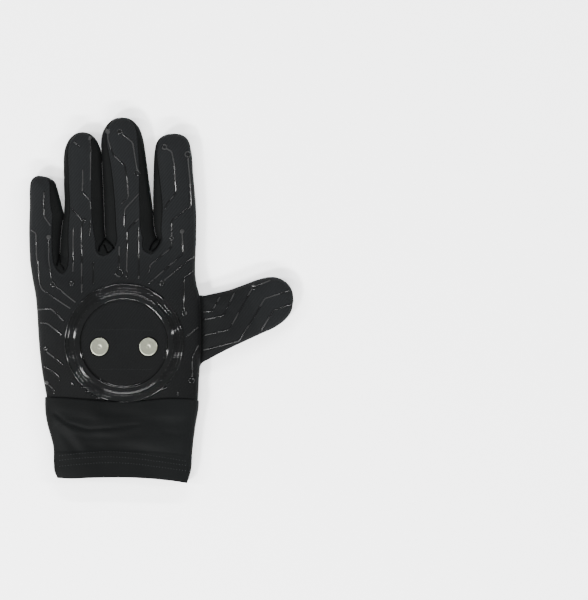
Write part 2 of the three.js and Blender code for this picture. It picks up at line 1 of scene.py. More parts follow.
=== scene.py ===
import bpy
import numpy as np
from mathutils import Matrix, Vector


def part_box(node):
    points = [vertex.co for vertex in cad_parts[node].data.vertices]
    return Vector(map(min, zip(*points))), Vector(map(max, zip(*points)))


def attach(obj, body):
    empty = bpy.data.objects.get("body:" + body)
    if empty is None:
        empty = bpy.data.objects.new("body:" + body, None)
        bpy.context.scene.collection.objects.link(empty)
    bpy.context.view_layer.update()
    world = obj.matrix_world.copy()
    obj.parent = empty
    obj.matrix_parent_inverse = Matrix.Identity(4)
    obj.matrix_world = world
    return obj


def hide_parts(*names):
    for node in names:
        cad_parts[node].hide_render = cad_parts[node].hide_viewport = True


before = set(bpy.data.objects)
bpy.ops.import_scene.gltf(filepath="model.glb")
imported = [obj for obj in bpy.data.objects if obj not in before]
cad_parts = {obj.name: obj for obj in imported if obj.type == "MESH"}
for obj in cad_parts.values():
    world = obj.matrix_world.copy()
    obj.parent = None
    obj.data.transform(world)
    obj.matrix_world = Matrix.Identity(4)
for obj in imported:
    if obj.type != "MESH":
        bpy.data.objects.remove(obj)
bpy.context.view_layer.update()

# The glove lies palm down on a pale table, and the camera looks straight down on it through a long lens.
# Soft white light comes from all round, and strongest from the wrist and the little finger's side.
# Narrow lamps low at the sides draw thin glints on the mouldings.
dock_low, dock_high = (np.array(corner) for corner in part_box("dock_ring"))
DOCK_MIDDLE = np.array([1.0, 39.0])  # glove millimetres, from the middle of the wrist line
GLOVE_SHIFT = (dock_low + dock_high)[:2] * 500 - DOCK_MIDDLE


def metres(points):
    """Glove millimetres to the part's own metres: moved by GLOVE_SHIFT in plan, then over 1000."""
    out = np.array(points, dtype=float)
    out[..., :2] += GLOVE_SHIFT
    return out / 1000


class Level:
    """A number that varies over a surface. Sums and products of it add a Math node each."""

    def __init__(self, finish, socket):
        self.finish, self.socket = finish, socket

    def math(self, operation, *others):
        inputs = dict(enumerate((self, *others)))
        return self.finish.node("ShaderNodeMath", {"operation": operation}, inputs)

    def __add__(self, other):
        return self.math("ADD", other)

    def __radd__(self, other):
        return self.math("ADD", other)

    def __sub__(self, other):
        return self.math("SUBTRACT", other)

    def __rsub__(self, other):
        return self.finish.node("ShaderNodeMath", {"operation": "SUBTRACT"}, {0: other, 1: self})

    def __mul__(self, other):
        return self.math("MULTIPLY", other)

    def __rmul__(self, other):
        return self.math("MULTIPLY", other)

    def sine(self):
        return self.math("SINE")

    def ramp(self, low, high):
        """0 below low, 1 above high, and a smooth step between."""
        settings = {"interpolation_type": "SMOOTHSTEP"}
        inputs = {"Value": self, "From Min": low, "From Max": high}
        return self.finish.node("ShaderNodeMapRange", settings, inputs)


class Finish:
    """A procedural material under one Principled surface."""

    def __init__(self, name):
        self.material = bpy.data.materials.new(name)
        self.material.use_nodes = True
        self.tree = self.material.node_tree
        self.tree.nodes.clear()

    def node(self, kind, settings=None, inputs=None, output=0):
        made = self.tree.nodes.new(kind)
        for key, value in (settings or {}).items():
            setattr(made, key, value)
        for key, value in (inputs or {}).items():
            if isinstance(value, Level):
                self.tree.links.new(value.socket, made.inputs[key])
            else:
                made.inputs[key].default_value = value
        return Level(self, made.outputs[output]) if len(made.outputs) else made

    def place(self):
        """Where each point lies on the object itself, in metres."""
        return self.node("ShaderNodeTexCoord", output="Object")

    def split(self, where):
        """A place's x, y and z."""
        apart = self.node("ShaderNodeSeparateXYZ", inputs={0: where})
        return [Level(self, apart.socket.node.outputs[k]) for k in range(3)]

    def noise(self, where, scale, detail=2.0, rough=0.5):
        inputs = {"Vector": where, "Scale": scale, "Detail": detail, "Roughness": rough}
        return self.node("ShaderNodeTexNoise", {}, inputs, output="Fac")

    def own(self, attribute):
        """A number kept at each point of the piece's mesh."""
        return self.node("ShaderNodeAttribute", {"attribute_name": attribute}, output="Fac")

    def mix(self, factor, first, second):
        inputs = {"Factor": factor, 6: first, 7: second}
        return self.node("ShaderNodeMix", {"data_type": "RGBA"}, inputs, output=2)

    def surface(self, height=None, distance=0.001, **sockets):
        inputs = {key.replace("_", " ").title(): value for key, value in sockets.items()}
        for loose, exact in (("Ior", "IOR"), ("Specular Ior Level", "Specular IOR Level")):
            if loose in inputs:
                inputs[exact] = inputs.pop(loose)
        if height is not None:
            inputs["Normal"] = self.node("ShaderNodeBump", {}, {"Height": height, "Distance": distance})
        shader = self.node("ShaderNodeBsdfPrincipled", {}, inputs)
        self.node("ShaderNodeOutputMaterial", {}, {"Surface": shader})
        return self.material


def colour(red, green, blue):
    return (red, green, blue, 1.0)


def make_piece(name, points, faces, material):
    """A mesh object from points in glove millimetres, at the origin."""
    mesh = bpy.data.meshes.new(name)
    mesh.from_pydata(metres(points).tolist(), [], faces)
    mesh.materials.append(material)
    mesh.polygons.foreach_set("use_smooth", np.full(len(mesh.polygons), True))
    piece = bpy.data.objects.new(name, mesh)
    bpy.context.scene.collection.objects.link(piece)
    return piece


table_finish = Finish("table_white")
table_where = table_finish.place()
table_grain = table_finish.noise(table_where, 40.0)
table_white = table_finish.mix(table_grain, colour(0.95, 0.95, 0.95), colour(0.97, 0.97, 0.97))
TABLE_GLOW = 0.35
TABLE_REACH = 4000.0
table_finish.surface(base_color=table_white, roughness=0.9, emission_color=colour(1, 1, 1),
                     emission_strength=TABLE_GLOW)
table_corners = [(x * TABLE_REACH, y * TABLE_REACH, 0.0) for x, y in ((-1, -1), (1, -1), (1, 1), (-1, 1))]
table = make_piece("table", table_corners, [(0, 1, 2, 3)], table_finish.material)

studio = bpy.data.worlds.new("studio")
studio.use_nodes = True
studio.node_tree.nodes["Background"].inputs["Color"].default_value = colour(0.96, 0.98, 1.0)
studio.node_tree.nodes["Background"].inputs["Strength"].default_value = 0.6
bpy.context.scene.world = studio


def add_lamp(name, place, aim, width, height, watts):
    """A rectangular lamp at a place in metres, turned to face its aim."""
    light = bpy.data.lights.new(name, "AREA")
    light.shape = "RECTANGLE"
    light.size, light.size_y, light.energy = width, height, watts
    lamp = bpy.data.objects.new(name, light)
    bpy.context.scene.collection.objects.link(lamp)
    lamp.location = place
    away = np.array(place) - np.array(aim)
    tilt = np.arctan2(np.hypot(away[0], away[1]), away[2])
    lamp.rotation_euler = (tilt, 0, np.arctan2(away[0], -away[1]))


add_lamp("lamp_lower_left", (-1.2, -1.2, 1.5), (0, 0, 0), 0.5, 0.25, 100)
add_lamp("lamp_top", (0.1, 1.7, 1.3), (0, 0, 0), 2.0, 0.1, 62)
add_lamp("lamp_near", (0.1, -1.7, 1.3), (0, 0, 0), 1.6, 0.12, 88)
add_lamp("lamp_left", (-1.7, 0.1, 1.3), (0, 0, 0), 0.12, 0.8, 42)
add_lamp("lamp_right", (1.7, 0.3, 1.3), (0, 0, 0), 0.12, 0.6, 38)

SHOT_MIDDLE = (119.3, 69.1)
SHOT_HEIGHT = 3.0
SHOT_TALL = 0.42
lens = bpy.data.cameras.new("camera")
lens.sensor_fit = "VERTICAL"
lens.sensor_height = 24.0
lens.lens = lens.sensor_height * SHOT_HEIGHT / SHOT_TALL
lens.clip_end = 20.0
camera = bpy.data.objects.new("camera", lens)
camera.location = (*metres([*SHOT_MIDDLE, 0.0])[:2], SHOT_HEIGHT)
bpy.context.scene.collection.objects.link(camera)
bpy.context.scene.camera = camera

# The back of the hand: one panel of fine black twill that runs up all four fingers. It is cut wide enough
# to roll over the outer edges, where it meets the palm cloth, and is sewn to the side strips between
# the fingers.
WIDEST_LEVEL = 6.2  # height of the glove's widest line over the table
EDGE_DROP = 4.5  # from there down to the flat palm side
SLIT = 0.03  # half of the hairline between two fingers that touch

# Outlines in plan: each finger from the gathered knot on its left round its tip to the next knot.
LITTLE_OUTER = [
    (-65.2, 96), (-65.7, 109), (-65.8, 122), (-65.4, 134), (-65.4, 147), (-64.6, 152), (-62.6, 154.7),
    (-60.1, 155.9), (-57.1, 155.9),
]
LITTLE_INNER = [
    (-57.1, 155.9), (-52.5, 154.7), (-49.1, 153), (-47.1, 150.5), (-45.7, 146), (-43.8, 139),
    (-42.2, 132.5), (-41.4, 129.6),
]
FOLD_LITTLE_RING = [(-41.4, 129.6), (-42.4, 123), (-43.3, 115.5), (-44, 107), (-44.2, 100.3)]
RING_OUTER = [
    (-41.4, 129.6), (-41.1, 136), (-41.4, 147), (-41.7, 160), (-41.7, 168), (-41, 174), (-39.3, 178.9),
    (-36.3, 183.2), (-32.5, 185.7), (-28.3, 186.5),
]
RING_INNER = [
    (-28.3, 186.5), (-24.5, 185.8), (-21.3, 183.9), (-18.3, 180.5), (-16.4, 176.2), (-15.3, 172.2),
]
FOLD_RING_MIDDLE = [
    (-15.3, 172.2), (-14.8, 164), (-14.3, 153), (-13.8, 142.7), (-13.3, 130), (-13, 119),
    (-12.3, 112.2),
]
MIDDLE_OUTER = [
    (-15.3, 172.2), (-15.5, 178), (-15.1, 183.4), (-13.8, 187.7), (-10.5, 192.6), (-6.2, 195.7),
    (-1.1, 196.8),
]
MIDDLE_INNER = [
    (-1.1, 196.8), (4, 196), (8, 193.3), (11.2, 189.4), (13.3, 184.3), (14.6, 178.3), (16.1, 168.2),
    (17.4, 158), (18.8, 147), (20.1, 137.6), (20.9, 131.5),
]
FOLD_MIDDLE_INDEX = [(20.9, 131.5), (21.1, 125.7), (21.6, 119.8), (22.8, 114.5), (23.7, 112)]
INDEX_OUTER = [
    (20.9, 131.5), (20.9, 143), (21.1, 155.5), (21.4, 168), (22, 174), (23.2, 179), (25.9, 182.6),
    (30.3, 184.8), (35.8, 185.5),
]
INDEX_INNER = [
    (35.8, 185.5), (40.6, 184.7), (44.3, 182.4), (46.2, 179.2), (47.4, 174), (48.3, 168), (48.9, 158),
    (49.8, 148), (50.8, 136), (51.2, 126), (51.1, 112.2),
]
HAND_OUTER = [
    (-52.6, -8), (-53.4, 0.3), (-54.7, 8), (-56.5, 18), (-58, 30), (-59.2, 44), (-60.1, 60),
    (-61.2, 72), (-63.4, 84), (-65.2, 96),
]
HAND_THUMB_SIDE = [
    (51.8, -8), (52.4, 0.9), (53, 13), (53.6, 22.6), (54.4, 38.3), (54.4, 54), (53.8, 66), (53.2, 72.5),
    (51.2, 80.8), (50.3, 89.3), (50.6, 100.3), (51.1, 112.2),
]
# Where the rows of the grid part between two fingers, from the wrist to the gathered knots.
PARTINGS = [
    [(-26, -8), (-29, 40), (-38, 76), (-41.8, 88), (-43.6, 95), (-44.2, 100.3)],
    [(0, -8), (-3, 40), (-10, 76), (-13.2, 100.7), (-12.9, 107), (-12.3, 112.2)],
    [(25, -8), (24, 40), (21, 76), (20.1, 101.8), (22, 107), (23.7, 112)],
]
HAND_STEPS = 116
FINGER_STEPS = 100


def walked(path):
    """How far along a path each of its points lies."""
    return np.concatenate([[0], np.cumsum(np.linalg.norm(np.diff(path, axis=0), axis=1))])


def at_lengths(want, along, path):
    """Points at wanted lengths along a path, straight between its own points."""
    return np.stack([np.interp(want, along, path[:, k]) for k in range(path.shape[1])], -1)


def curve_through(points, count):
    """A smooth curve, evenly spaced: a cubic between neighbours, with slopes from both sides."""
    p = np.asarray(points, dtype=float)
    gaps = np.sqrt(np.linalg.norm(np.diff(p, axis=0), axis=1))
    t = np.concatenate([[0], np.cumsum(gaps)])
    slope = np.gradient(p, t, axis=0)
    fine = np.linspace(0, t[-1], 40 * len(p))
    i = np.clip(np.searchsorted(t, fine, side="right") - 1, 0, len(t) - 2)
    h = (t[i + 1] - t[i])[:, None]
    s = (fine - t[i])[:, None] / h
    start = (2 * s**3 - 3 * s**2 + 1) * p[i] + (s**3 - 2 * s**2 + s) * h * slope[i]
    dense = start + (3 * s**2 - 2 * s**3) * p[i + 1] + (s**3 - s**2) * h * slope[i + 1]
    along = walked(dense)
    return at_lengths(np.linspace(0, along[-1], count), along, dense)


def taken_in(border, inward):
    """A finger's border moved off the hairline: by nothing at its knot, and by SLIT from 2 mm on."""
    run = np.gradient(border, axis=0)
    side = np.stack([run[:, 1], -run[:, 0]], -1) / np.linalg.norm(run, axis=1)[:, None]
    grown = np.clip(np.linalg.norm(border - border[0], axis=1) / 2, 0, 1)
    tip = np.clip(np.linalg.norm(border - border[-1], axis=1) / 2, 0, 1)
    return border + inward * SLIT * (grown * tip)[:, None] * side


def finger_borders(left, right):
    """Left and right borders of a finger, each from its knot to its tip."""
    left_border = taken_in(curve_through(left, FINGER_STEPS + 1), 1)
    right_border = taken_in(curve_through(right, FINGER_STEPS + 1), -1)
    return left_border, right_border


FINGERS = [
    finger_borders(LITTLE_OUTER, FOLD_LITTLE_RING[::-1] + LITTLE_INNER[::-1][1:]),
    finger_borders(FOLD_LITTLE_RING[::-1] + RING_OUTER[1:], FOLD_RING_MIDDLE[::-1] + RING_INNER[::-1][1:]),
    finger_borders(FOLD_RING_MIDDLE[::-1] + MIDDLE_OUTER[1:],
                   FOLD_MIDDLE_INDEX[::-1] + MIDDLE_INNER[::-1][1:]),
    finger_borders(FOLD_MIDDLE_INDEX[::-1] + INDEX_OUTER[1:], INDEX_INNER[::-1]),
]


def hand_border(line):
    """A border of the hand's rows, from the wrist up, with rows that close up towards the knots."""
    dense = curve_through(line, 2001)
    share = 1 - (1 - np.linspace(0, 1, HAND_STEPS + 1)) ** 1.8
    return at_lengths(share * 2000, np.arange(2001), dense)


HAND_BORDERS = [hand_border(line) for line in [HAND_OUTER, *PARTINGS, HAND_THUMB_SIDE]]

THUMB_UPPER = [
    (53.2, 72.5), (57.5, 72.4), (62.3, 73.5), (73.1, 75.9), (85.2, 80.2), (94.8, 83.7), (103.3, 85.3),
    (109.3, 84.3), (115.3, 80.2), (118.3, 75), (119, 68.4),
]
THUMB_LOWER = [
    (53.6, 22.6), (55, 24.9), (61.1, 28.4), (73.1, 34.7), (85.2, 40.4), (96, 45.4), (105.7, 49.8),
    (112.9, 55), (117.4, 61.2), (119, 68.4),
]
thumb_upper = curve_through(THUMB_UPPER, 91)
thumb_lower = curve_through(THUMB_LOWER, 91)
finger_edges = [FINGERS[0][0], FINGERS[3][1], *(edge for pair in FINGERS for edge in pair)]
back_edges = [HAND_BORDERS[0], HAND_BORDERS[4], *finger_edges]
THUMB_ROOT_MIDDLE, THUMB_ROOT_HALF = 47.5, 25.2  # along the hand
thumb_root = np.abs(HAND_BORDERS[4][:, 1] - THUMB_ROOT_MIDDLE) < THUMB_ROOT_HALF
crotch_start = int(np.nonzero(thumb_root)[0][-1])
junction_end = int(np.nonzero(thumb_root)[0][0])
palm_edges = [HAND_BORDERS[0], HAND_BORDERS[4][: junction_end + 1], HAND_BORDERS[4][crotch_start:],
              *finger_edges, thumb_upper, thumb_lower]


def distance_to(points, paths):
    """Millimetres from each point in plan to the nearest of the straight pieces of some paths."""
    best = np.full(len(points), 1e12)
    for path in paths:
        for a, b in zip(path[:-1], path[1:]):
            run = b - a
            off = points - a
            s = np.clip(off @ run / max(run @ run, 1e-12), 0, 1)
            best = np.minimum(best, ((off - s[:, None] * run) ** 2).sum(1))
    return np.sqrt(best)


def smooth_step(low, high, x):
    """0 below low, 1 above high, and between them three times t squared less twice t cubed."""
    t = np.clip((x - low) / (high - low), 0, 1)
    return t * t * (3 - 2 * t)


def rounding(depth, width, squareness):
    """A superellipse's rise from 0 at an edge to 1 at width inside it."""
    t = np.clip(depth / width, 0, 1)
    return np.maximum(1 - (1 - t) ** squareness, 0) ** (1 / squareness)


# Heights over the widest line along the hand, from the wrist to the fingertips.
HAND_RISE = curve_through([
    (-10, 9.3), (0, 9.5), (12, 11), (35, 13.1), (55, 13.5), (72, 12.4), (90, 9.7), (104, 7.9),
    (130, 7.3), (165, 6.8), (200, 6.2),
], 300)

# Soft folds and gathers of the back: points, depth and half width, all in millimetres.
BACK_FOLDS = [
    ([(-44.6, 100), (-45.1, 96.5), (-45.9, 93.6)], 1.3, 0.7),
    ([(-44.1, 99), (-43.6, 95.5)], 0.9, 0.6),
    ([(-43, 94), (-41.6, 92.2), (-40.9, 90.6)], 0.9, 0.5),
    ([(-12.3, 112), (-14.4, 108.8), (-16.2, 106.2), (-16.7, 103.4)], 1.6, 0.6),
    ([(-12.3, 112), (-9.6, 109.6), (-7.4, 107.6), (-6.1, 105.2)], 1.6, 0.6),
    ([(-13, 107.6), (-11.6, 104.6), (-10.6, 102.4)], 1.2, 0.5),
    ([(-6.1, 105.2), (-8.2, 103.2), (-10.6, 102.2)], 1.0, 0.5),
    ([(24.2, 112), (21.6, 109.8), (19.9, 107), (18.9, 104.2)], 1.7, 0.6),
    ([(26, 111.4), (25, 108), (22.8, 105), (20.6, 103.4)], 1.1, 0.5),
    ([(-48, 60), (-40, 45), (-44, 25)], 0.35, 6.0),
    ([(44, 62), (47, 45), (46, 25)], 0.4, 5.0),
    ([(-20, 122), (-19, 140), (-20, 160)], 0.25, 2.5),
]


def bell(x, width):
    """1 where x is 0, and down to nothing on both sides: e to minus the square of x over width."""
    return np.exp(-((x / width) ** 2))


def folds_at(points, folds):
    """The sum of the folds' depths at points in plan: each a bell across its line."""
    total = np.zeros(len(points))
    for line, depth, half_width in folds:
        total += depth * bell(distance_to(points, [np.array(line, dtype=float)]), half_width)
    return total


def slack(points):
    """The cloth's slight waviness: three crossed sine waves, under a quarter of a millimetre in all."""
    x, y = points[:, 0], points[:, 1]
    waves = 0.09 * np.sin(x / 4.9 + y / 9.1) + 0.08 * np.sin(y / 6.5 - x / 8.3)
    return waves + 0.07 * np.sin(x / 3.7 - y / 5.3)


KNUCKLES = (64, 106)  # where the hand's shape turns into the fingers', along the hand
HAND_ROUND, FINGER_ROUND = 54, 12.5  # how far in from the outline the back keeps rising


def back_height(points):
    """Height of the back over the table: a rise that falls off as a superellipse towards the outline."""
    y = points[:, 1]
    fingers = smooth_step(*KNUCKLES, y)
    width = HAND_ROUND + (FINGER_ROUND - HAND_ROUND) * fingers
    depth = distance_to(points, back_edges)
    rise = np.interp(y, HAND_RISE[:, 0], HAND_RISE[:, 1])
    round_off = rounding(depth, width, 3.2 - 0.9 * fingers)
    inside = smooth_step(0, 3, depth)
    return WIDEST_LEVEL + rise * round_off + (slack(points) - folds_at(points, BACK_FOLDS)) * inside


# Widths of the side strips as they show on the back, at five even places from each knot to the tip.
BACK_STRIP_WIDTHS = [
    ([0, 0, 0, 0, 0], [4.4, 5.8, 7.2, 5, 1.6]),
    ([6.6, 4.6, 3.6, 3.4, 1.6], [6.6, 8.2, 7.3, 6.3, 2.4]),
    ([8.2, 7.8, 6.6, 4, 1.6], [9.2, 8.3, 5.4, 3.8, 2]),
    ([3.4, 6.4, 4.4, 1.7, 1], [0, 0, 0, 0, 0]),
]
BACK_WEB_BOTTOMS = [88, 100.7, 101.8]


def strip_widths(finger, widths, bottoms):
    """Both side strips' widths in each row of a finger: round from web to knot, and eased from there."""
    found = []
    for side in (0, 1):
        border = HAND_BORDERS[finger + side]
        web = finger - 1 + side
        values = np.array(widths[finger][side], dtype=float)
        v = np.linspace(0, 1, FINGER_STEPS + 1)
        along = curve_through(list(zip(np.linspace(0, 1, 5) * 40, values)), 200)
        fingers = np.maximum(np.interp(v * 40, along[:, 0], along[:, 1]), 0)
        if values.max() == 0:
            found.append(np.zeros(HAND_STEPS + 1 + FINGER_STEPS))
            continue
        knot = border[-1, 1]
        fall = np.clip((knot - border[:, 1]) / (knot - bottoms[web]), 0, 1)
        hand = values[0] * (1 - fall**2.1) ** 0.55
        found.append(np.concatenate([hand, fingers[1:]]))
    return found


def finger_rows(finger):
    """Both borders of a finger's rows, from the wrist by its knots to its tip."""
    left = np.concatenate([HAND_BORDERS[finger], FINGERS[finger][0][1:]])
    right = np.concatenate([HAND_BORDERS[finger + 1], FINGERS[finger][1][1:]])
    return left, right


SEAM_LIMIT = 0.36  # the furthest a seam lies from its border, as a share of the way across


def seam_shares(finger, widths, bottoms):
    """Where the two seams cross each row, as shares of the way across, closing up at the tip."""
    left, right = finger_rows(finger)
    across = np.maximum(np.linalg.norm(right - left, axis=1), 1e-6)
    on_left, on_right = strip_widths(finger, widths, bottoms)
    ending = np.concatenate([np.ones(HAND_STEPS), 1 - np.linspace(0, 1, FINGER_STEPS + 1) ** 8])
    first = np.minimum(on_left / across, SEAM_LIMIT) * ending
    return first, 1 - np.minimum(on_right / across, SEAM_LIMIT) * ending


def across_rows(left, right, shares):
    """Points in plan at shares of the way across each row."""
    return left[:, None, :] + (right - left)[:, None, :] * shares[..., None]


def eased(count):
    """Shares from 0 to 1, closer together at both ends."""
    return (1 - np.cos(np.pi * np.linspace(0, 1, count))) / 2


def raised(plan, height):
    """Plan points with the height that a function gives them."""
    flat = plan.reshape(-1, 2)
    return np.concatenate([flat, height(flat)[:, None]], axis=1).reshape(*plan.shape[:-1], 3)


def sew(grids, downwards=False, together=0.02):
    """Points and faces of joined grids: points that share a cell become one, and faces without area go."""
    points, faces, start = [], [], 0
    for grid in grids:
        rows, columns = grid.shape[:2]
        i = start + np.arange(rows * columns).reshape(rows, columns)
        faces.append(np.stack([i[:-1, :-1], i[:-1, 1:], i[1:, 1:], i[1:, :-1]], -1).reshape(-1, 4))
        points.append(grid.reshape(-1, 3))
        start += rows * columns
    points, faces = np.concatenate(points), np.concatenate(faces)
    cells = np.round(points / together).astype(int)
    _, first, name = np.unique(cells, axis=0, return_index=True, return_inverse=True)
    points, faces = points[first], name.reshape(-1)[faces]
    same = faces == np.roll(faces, -1, axis=1)
    once = same.sum(1) == 1
    threes = faces[once][~same[once]].reshape(-1, 3)
    fours = faces[~same.any(1)]
    if downwards:
        threes, fours = threes[:, ::-1], fours[:, ::-1]
    return points, fours.tolist() + threes.tolist()


def thicken(piece, millimetres):
    """Gives a panel of cloth its thickness, inwards."""
    wall = piece.modifiers.new("cloth", "SOLIDIFY")
    wall.thickness = millimetres / 1000
    wall.offset = -1.0
    wall.use_even_offset = False


def remember(piece, name, values):
    """Keeps a number at each point of a piece's mesh."""
    kept = piece.data.attributes.new(name, "FLOAT", "POINT")
    kept.data.foreach_set("value", np.asarray(values, dtype=np.float32))


def twill(finish, where, x, y, pitch, lean):
    """Fine ridges that climb at a slant, roughened by threads that cross them."""
    slant = (x * float(np.cos(lean)) + y * float(np.sin(lean))) * (2 * np.pi / pitch)
    ridges = slant.sine() * 0.5 + 0.5
    threads = finish.noise(where, 2600.0, 2.0, 0.6)
    return ridges, threads


PANEL_CLOTH = 0.8
SEAM_ROLL = 0.35  # the cloth's rise beside a seam
SEAM_GROOVE = 0.5  # the seam's own depth
TWILL_PITCH = 0.0017
TWILL_LEAN = np.radians(-38)


def panel_grids(widths, bottoms, height):
    """A panel's four grids between its seams, one over each finger's rows, and the seams themselves."""
    grids, seams = [], []
    for finger in range(4):
        left, right = finger_rows(finger)
        first, last = seam_shares(finger, widths, bottoms)
        shares = first[:, None] + (last - first)[:, None] * eased(33)
        plan = across_rows(left, right, shares)
        grids.append(raised(plan, height))
        for web, column in ((finger - 1, 0), (finger, -1)):
            if 0 <= web < 3:
                seams.append(plan[plan[:, column, 1] >= bottoms[web] - 0.5, column])
    return grids, seams


back_grids, back_seams = panel_grids(BACK_STRIP_WIDTHS, BACK_WEB_BOTTOMS, back_height)
back_points, back_faces = sew(back_grids)
from_seam = distance_to(back_points[:, :2], back_seams)
back_points[:, 2] += SEAM_ROLL * bell(from_seam - 1.0, 0.8) - SEAM_GROOVE * bell(from_seam, 0.45)

back_twill = Finish("black_twill")
back_where = back_twill.place()
back_x, back_y, _ = back_twill.split(back_where)
ridges, threads = twill(back_twill, back_where, back_x, back_y, TWILL_PITCH, TWILL_LEAN)
patches = back_twill.noise(back_where, 24.0, 3.0)
seam_dark = 1 - back_twill.own("from_seam").ramp(0.1, 0.7)
# Painted light: the twill is paler, with stronger ridges, towards the fingertips and the thumb's tip.
painted_light_towards_fingers = (back_y * 1000).ramp(-70.0, 90.0)
painted_light_towards_thumb_tip = (back_x * 1000).ramp(45.0, 95.0)
twill_mix = ridges * (painted_light_towards_fingers * 0.4 + 0.1) + threads * 0.35 + patches * 0.2 - 0.19
twill_mix = twill_mix + painted_light_towards_fingers * 0.48 + painted_light_towards_thumb_tip * 0.5
back_colour = back_twill.mix(twill_mix, colour(0.0003, 0.0004, 0.0004), colour(0.0042, 0.0047, 0.0051))
back_colour = back_twill.mix(seam_dark * 0.75, back_colour, colour(0.001, 0.001, 0.001))
back_rough = 0.62 + threads * 0.2
back_twill.surface(height=ridges * 0.3 + threads * 0.7, distance=0.00018, base_color=back_colour,
                   roughness=back_rough, sheen_weight=0.01, sheen_roughness=0.4, specular_ior_level=0.07)

back_of_hand = make_piece("back_of_hand", back_points, back_faces, back_twill.material)
remember(back_of_hand, "from_seam", from_seam)
thicken(back_of_hand, PANEL_CLOTH)
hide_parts("back_panel")
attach(back_of_hand, "root")

# The back of the thumb: its own piece of the same twill, tucked in under the edge of the hand's back, where
# it is sewn, and rolled over the thumb's two edges to the palm side.
THUMB_RISE = curve_through([
    (48, 1.0), (54, 1.6), (60, 4.3), (68, 6.1), (80, 6.9), (100, 6.6), (122, 6.2),
], 120)
THUMB_FOLDS = [
    ([(56, 66), (66, 62), (74, 62)], 0.5, 2.2),
    ([(55, 33), (64, 38), (72, 40)], 0.4, 2.5),
    ([(84, 76), (90, 66), (92, 54)], 0.3, 3.0),
]
thumb_edges = [np.concatenate([[(40.0, 71.5)], thumb_upper]), np.concatenate([[(40.0, 19.0)], thumb_lower])]


def thumb_height(points):
    """Height of the thumb's back: low where it is tucked under the hand, and round towards its edges."""
    depth = distance_to(points, thumb_edges)
    rise = np.interp(points[:, 0], THUMB_RISE[:, 0], THUMB_RISE[:, 1])
    soft = (slack(points) - folds_at(points, THUMB_FOLDS)) * smooth_step(0, 3, depth)
    return WIDEST_LEVEL + rise * rounding(depth, 14.0, 2.3) + soft


thumb_tucked_upper = np.concatenate([[(49.5, 72.2), (51.5, 72.3)], thumb_upper])
thumb_tucked_lower = np.concatenate([[(49.5, 20.8), (51.5, 21.5)], thumb_lower])
thumb_plan = across_rows(thumb_tucked_upper, thumb_tucked_lower, np.tile(eased(41), (93, 1)))
thumb_points, thumb_faces = sew([raised(thumb_plan, thumb_height)])
thumb_back_cloth = make_piece("thumb_back_cloth", thumb_points, thumb_faces, back_twill.material)
thumb_seam = distance_to(thumb_points[:, :2], [HAND_BORDERS[4]])
remember(thumb_back_cloth, "from_seam", thumb_seam)
thicken(thumb_back_cloth, PANEL_CLOTH)
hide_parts("thumb_back")
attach(thumb_back_cloth, "root")

# The side strips between the fingers: three long V-shaped strips of matt stretch cloth, each sewn into the
# gap of two fingers from knuckle to tips and gathered into a knot at the web.
STRIP_CLOTH = 0.6
PALM_STRIP_WIDTHS = [
    ([0, 0, 0, 0, 0], [2.6, 2.8, 2.8, 2.2, 1]),
    ([4, 4.4, 4, 3.2, 1.4], [4.6, 4.8, 4.6, 3.6, 1.6]),
    ([4.6, 4.6, 4.2, 3.4, 1.4], [4.6, 4.8, 4.6, 3.6, 1.6]),
    ([3, 4.2, 4, 3.2, 1.4], [0, 0, 0, 0, 0]),
]
PALM_WEB_BOTTOMS = [94.6, 104, 104.9]
PALM_FOLDS = [
    ([(-44.2, 101), (-45.2, 97.5)], -0.7, 0.7),
    ([(-44, 100), (-42, 97)], -0.7, 0.7),
    ([(-12.3, 112), (-14.4, 108), (-15, 105.8)], -0.9, 0.6),
    ([(-12.3, 112), (-12.2, 108), (-12, 105.5)], -0.9, 0.5),
    ([(-12.3, 112), (-10, 108.6), (-9, 106)], -0.9, 0.6),
    ([(23.7, 112), (21.2, 108.5), (20.6, 106.2)], -0.9, 0.6),
    ([(23.7, 112), (23, 108.6), (22.4, 106.4)], -0.7, 0.5),
    ([(-40, 70), (-30, 55), (-28, 30)], -0.3, 7.0),
    ([(20, 80), (0, 74), (-20, 78)], -0.25, 6.0),
]


PALM_LOWEST = 1.62  # the palm cloth never comes lower over the table


def palm_height(points):
    """Height of the palm side: flat just over the table, rounding up to the widest line at every edge."""
    depth = distance_to(points, palm_edges)
    drop = EDGE_DROP * rounding(depth, 4.0, 2.0)
    soft = (0.6 * slack(points) - folds_at(points, PALM_FOLDS)) * smooth_step(1, 5, depth)
    return np.maximum(WIDEST_LEVEL - drop + np.clip(soft, -0.05, 2), PALM_LOWEST)


def zone(finger, side, widths, bottoms, height, columns):
    """One side strip's half on one finger: from its border to its seam, closer together at the border."""
    left, right = finger_rows(finger)
    first, last = seam_shares(finger, widths, bottoms)
    step = np.linspace(0, 1, columns) ** 1.25
    shares = first[:, None] * step if side == 0 else 1 - (1 - last)[:, None] * step
    plan = across_rows(left, right, shares)
    rows = HAND_BORDERS[finger + side][:, 1] >= bottoms[finger - 1 + side] - 1.3
    start = int(np.nonzero(rows)[0][0])
    return raised(plan[start:], height)


strip_cloth = Finish("strip_cloth")
strip_where = strip_cloth.place()
strip_threads = strip_cloth.noise(strip_where, 2400.0, 2.0, 0.6)
strip_patches = strip_cloth.noise(strip_where, 60.0, 3.0)
strip_shade = strip_threads * 0.6 + strip_patches * 0.4
strip_colour = strip_cloth.mix(strip_shade, colour(0.0007, 0.0008, 0.0008), colour(0.0037, 0.0041, 0.0041))
# Painted shade: the strip cloth is darkened beside the gathered folds, where shade falls in the creases.
painted_fold_shade = 1 - strip_cloth.own("from_fold").ramp(0.1, 0.8)
strip_colour = strip_cloth.mix(painted_fold_shade * 0.9, strip_colour, colour(0.0001, 0.0001, 0.0001))
strip_cloth.surface(height=strip_threads, distance=0.00016, base_color=strip_colour,
                    roughness=0.45 + strip_threads * 0.2, sheen_weight=0.01, sheen_roughness=0.4,
                    specular_ior_level=0.03)

